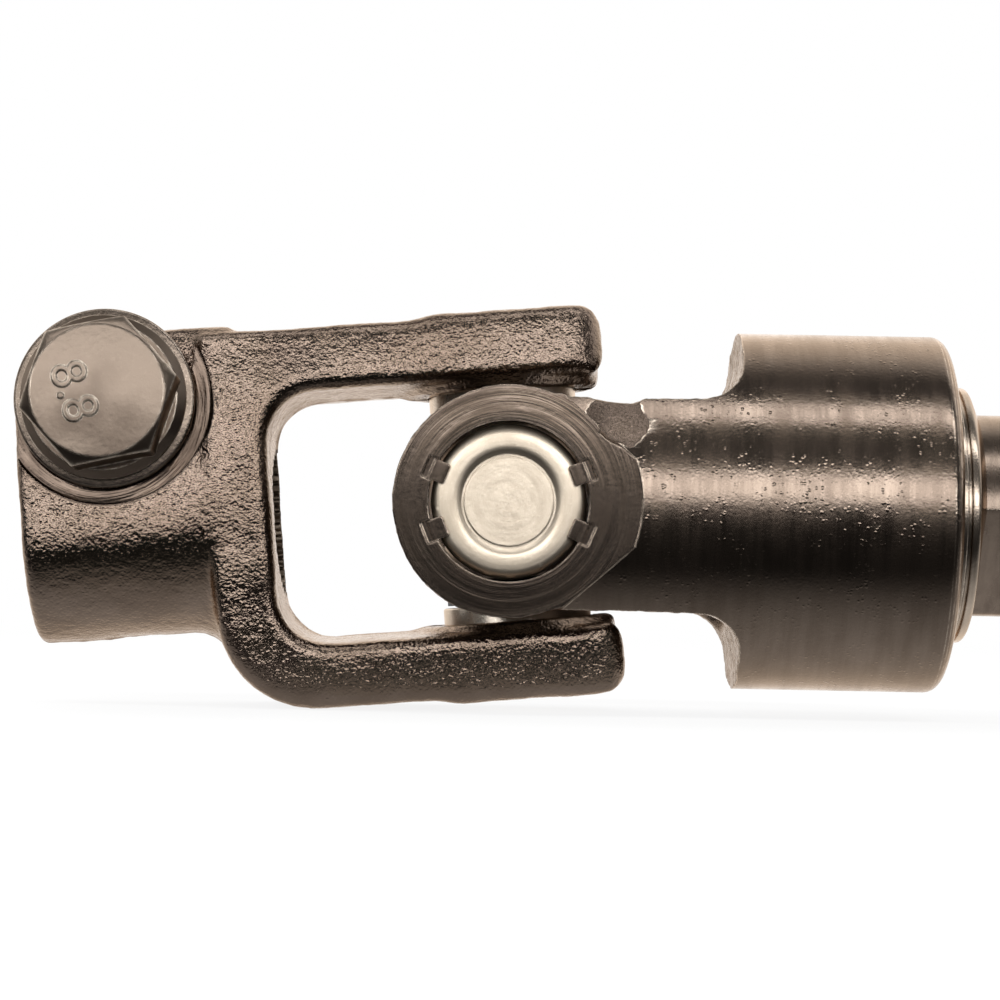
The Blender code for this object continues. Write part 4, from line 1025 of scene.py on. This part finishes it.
def socket():
    bm = turned([(0, 0.025), (SLIDER_RADIUS + 0.0003, 0.025), (SLIDER_RADIUS + 0.0003, 0.054), (0, 0.054)], "X", 96)
    press_flats(bm, SLIDER_RADIUS + 0.0003, SLIDER_FLAT + 0.0003)
    bmesh.ops.scale(bm, vec=(1, -1, 1), verts=bm.verts)
    return bm


near_seat, far_seat = shaded_seat_paint("near", NEAR_CLAMP), shaded_seat_paint("far", FAR_CLAMP)
near_yoke = clamp_yoke(near_seat)
near_yoke.name = "near_clamp_yoke_forged"
far_yoke = copy_of(near_yoke, "far_clamp_yoke_forged")
for index, finish in enumerate(far_yoke.data.materials):
    if finish == near_seat:
        far_yoke.data.materials[index] = far_seat
fit(near_yoke, NEAR_CLAMP, "near_clamp", "black_paint", "near_clamp_yoke")
fit(far_yoke, FAR_CLAMP, "far_clamp", "black_paint", "far_clamp_yoke")

head = bolt()
head.name = "near_pinch_bolt_turned"
other_head = copy_of(head, "far_pinch_bolt_turned")
plate = washer()
plate.name = "near_pinch_bolt_washer_pressed"
other_plate = copy_of(plate, "far_pinch_bolt_washer_pressed")
BOLT_AXIS = TILT @ Matrix.Translation((-BOLT_PLACE, 0, BOLT_HEIGHT))
fit(head, NEAR_CLAMP @ BOLT_AXIS, "near_clamp", "brown_steel", "near_pinch_bolt")
fit(other_head, FAR_CLAMP @ BOLT_AXIS, "far_clamp", "brown_steel", "far_pinch_bolt")
fit(plate, NEAR_CLAMP @ BOLT_AXIS, "near_clamp", "brown_steel", "near_pinch_bolt_washer")
fit(other_plate, FAR_CLAMP @ BOLT_AXIS, "far_clamp", "brown_steel", "far_pinch_bolt_washer")

housing = joint_yoke("joint_yoke_machined", housing_profile(), yoke_oxides("near"))
fit(housing, NEAR_YOKE, "joint_housing", "black_oxide", "joint_yoke")
far_joint = joint_yoke("far_joint_yoke_machined", far_profile(), yoke_oxides("far"), [socket(), pin_hole()])
fit(far_joint, FAR_YOKE, "slider", "black_oxide", "far_joint_yoke")

bearings("near", NEAR_YOKE, "joint_housing", ("front", "back"), cup_steel("near"))
bearings("near", NEAR_CLAMP, "near_clamp", ("top", "bottom"), upright_cup_steel)
bearings("far", FAR_YOKE, "slider", ("front", "back"), cup_steel("far"))
bearings("far", FAR_CLAMP, "far_clamp", ("top", "bottom"), upright_cup_steel)

near_cross = cross()
near_cross.name = "near_cross_forged"
far_cross = copy_of(near_cross, "far_cross_forged")
fit(near_cross, NEAR_YOKE @ HANG, "near_cross", "bright_steel", "near_cross")
fit(far_cross, FAR_YOKE @ HANG, "far_cross", "bright_steel", "far_cross")

fit(retaining_ring(), NEAR_YOKE, "tube", "bright_steel", "retaining_ring")
fit(slip_tube(), NEAR_YOKE, "tube", "brown_steel", "slip_tube")
fit(tube_cap(), NEAR_YOKE, "tube", "dark_rubber", "tube_cap")
fit(slider_shaft(), NEAR_YOKE, "slider", "brown_steel", "slider_shaft")
fit(spring_pin(), FAR_YOKE @ Matrix.Translation((PIN_PLACE, 0, 0)), "slider", "brown_steel", "yoke_spring_pin")

KEPT = {"isolator_rubber": seal_rubber, "isolator_sleeve": shaft_steel, "slider_bush": nylon}
for side in ("near", "far"):
    for name in ("front", "back", "top", "bottom"):
        KEPT[f"{side}_{name}_needles"] = upright_cup_steel
for name, finish in KEPT.items():
    kept = frame["nodes"][name]
    kept.data.materials.clear()
    kept.data.materials.append(finish)


# Floor, light and camera

def floor():
    """A white floor. The camera sees it nearly plain white with a faint shadow round the object. To all other rays the
    floor glows as painted light, dim on the camera's side and brighter than white behind, and the metal shows that glow
    as painted reflections."""
    bm = bmesh.new()
    bmesh.ops.create_grid(bm, x_segments=2, y_segments=2, size=4)
    made = bpy.data.materials.new("floor_white")
    made.use_nodes = True
    tree = made.node_tree
    shader = tree.nodes["Principled BSDF"]
    shader.inputs["Base Color"].default_value = (0.9, 0.9, 0.9, 1)
    shader.inputs["Roughness"].default_value = 0.9
    place = node(tree, "ShaderNodeTexCoord").outputs["Object"]
    parts = node(tree, "ShaderNodeSeparateXYZ")
    wire(tree, place, parts.inputs[0])
    distance = node(tree, "ShaderNodeVectorMath", operation="LENGTH")
    wire(tree, place, distance.inputs[0])
    glow = node(tree, "ShaderNodeEmission", {"Strength": 1.0})
    plain = node(tree, "ShaderNodeMixShader")
    wire(tree, ramp(tree, distance.outputs["Value"], 0.25, 0.7, 0.86, 1.0), plain.inputs[0])
    wire(tree, shader.outputs[0], plain.inputs[1])
    wire(tree, glow.outputs[0], plain.inputs[2])
    # Painted light: for every ray but the camera's the floor glows, dim in front and bright behind, to give the metal
    # painted reflections.
    painted_glow = node(tree, "ShaderNodeEmission")
    wire(tree, ramp(tree, parts.outputs[1], -0.045, 0.005, 0.03, 1.3), painted_glow.inputs["Strength"])
    mix = node(tree, "ShaderNodeMixShader")
    wire(tree, node(tree, "ShaderNodeLightPath").outputs["Is Camera Ray"], mix.inputs[0])
    wire(tree, painted_glow.outputs[0], mix.inputs[1])
    wire(tree, plain.outputs[0], mix.inputs[2])
    wire(tree, mix.outputs[0], tree.nodes["Material Output"].inputs[0])
    piece_of("floor", bm, made)


def world():
    """A bright backdrop behind the object and a dim room on the camera's side, seen as white."""
    made = bpy.data.worlds.new("studio")
    bpy.context.scene.world = made
    made.use_nodes = True
    tree = made.node_tree
    back = tree.nodes["Background"]
    back.inputs["Color"].default_value = (1, 1, 1, 1)
    parts = node(tree, "ShaderNodeSeparateXYZ")
    wire(tree, node(tree, "ShaderNodeTexCoord").outputs["Generated"], parts.inputs[0])
    side = math_node(tree, "MULTIPLY", parts.outputs[0], parts.outputs[0])
    back_or_side = math_node(tree, "ADD", parts.outputs[1], math_node(tree, "MULTIPLY", side, 0.5))
    behind = ramp(tree, back_or_side, 0.05, 0.60, 0.08, 1.0)
    level = math_node(tree, "MULTIPLY", behind, ramp(tree, parts.outputs[2], 0.05, 0.55, 1.4, 2.0))
    seen = node(tree, "ShaderNodeLightPath").outputs["Is Camera Ray"]
    choice = node(tree, "ShaderNodeMix", {"B": 1.0})
    wire(tree, seen, choice.inputs["Factor"])
    wire(tree, level, choice.inputs["A"])
    wire(tree, choice.outputs[0], back.inputs["Strength"])


def softbox(name, rise, spread, distance, length, power, turn=0.0):
    """A long lamp on the camera's side, this many degrees up from the shaft and this many tall."""
    made = bpy.data.lights.new(name, "AREA")
    made.shape = "RECTANGLE"
    made.size = length
    made.size_y = 2 * distance * math.tan(math.radians(spread / 2))
    made.energy = power
    lamp = bpy.data.objects.new(name, made)
    bpy.context.scene.collection.objects.link(lamp)
    up, round_z = math.radians(rise), math.radians(turn)
    away = Vector((math.sin(round_z) * math.cos(up), -math.cos(round_z) * math.cos(up), math.sin(up)))
    lamp.location = NEAR + away * distance
    lamp.rotation_mode = "QUATERNION"
    lamp.rotation_quaternion = away.to_track_quat("Z", "Y")
    lamp.visible_camera = False
    return lamp


def camera():
    made = bpy.data.cameras.new("camera")
    made.sensor_width = 36
    made.lens = 94.2
    made.clip_start = 0.01
    eye = bpy.data.objects.new("camera", made)
    bpy.context.scene.collection.objects.link(eye)
    up, round_z = math.radians(-2), math.radians(0.6)
    away = Vector((math.sin(round_z) * math.cos(up), -math.cos(round_z) * math.cos(up), math.sin(up)))
    eye.location = Vector((-0.1138, 0, 0.0271)) + away * 0.340
    eye.rotation_mode = "QUATERNION"
    eye.rotation_quaternion = away.to_track_quat("Z", "Y") @ Quaternion((0, 0, 1), math.radians(1.1))
    bpy.context.scene.camera = eye


floor()
world()
softbox("low_strip", 13.5, 16, 0.6, 1.2, 4.1)
softbox("high_strip", 62.9, 12.6, 0.6, 1.2, 2.7)
camera()
bpy.context.scene.view_settings.view_transform = "Standard"
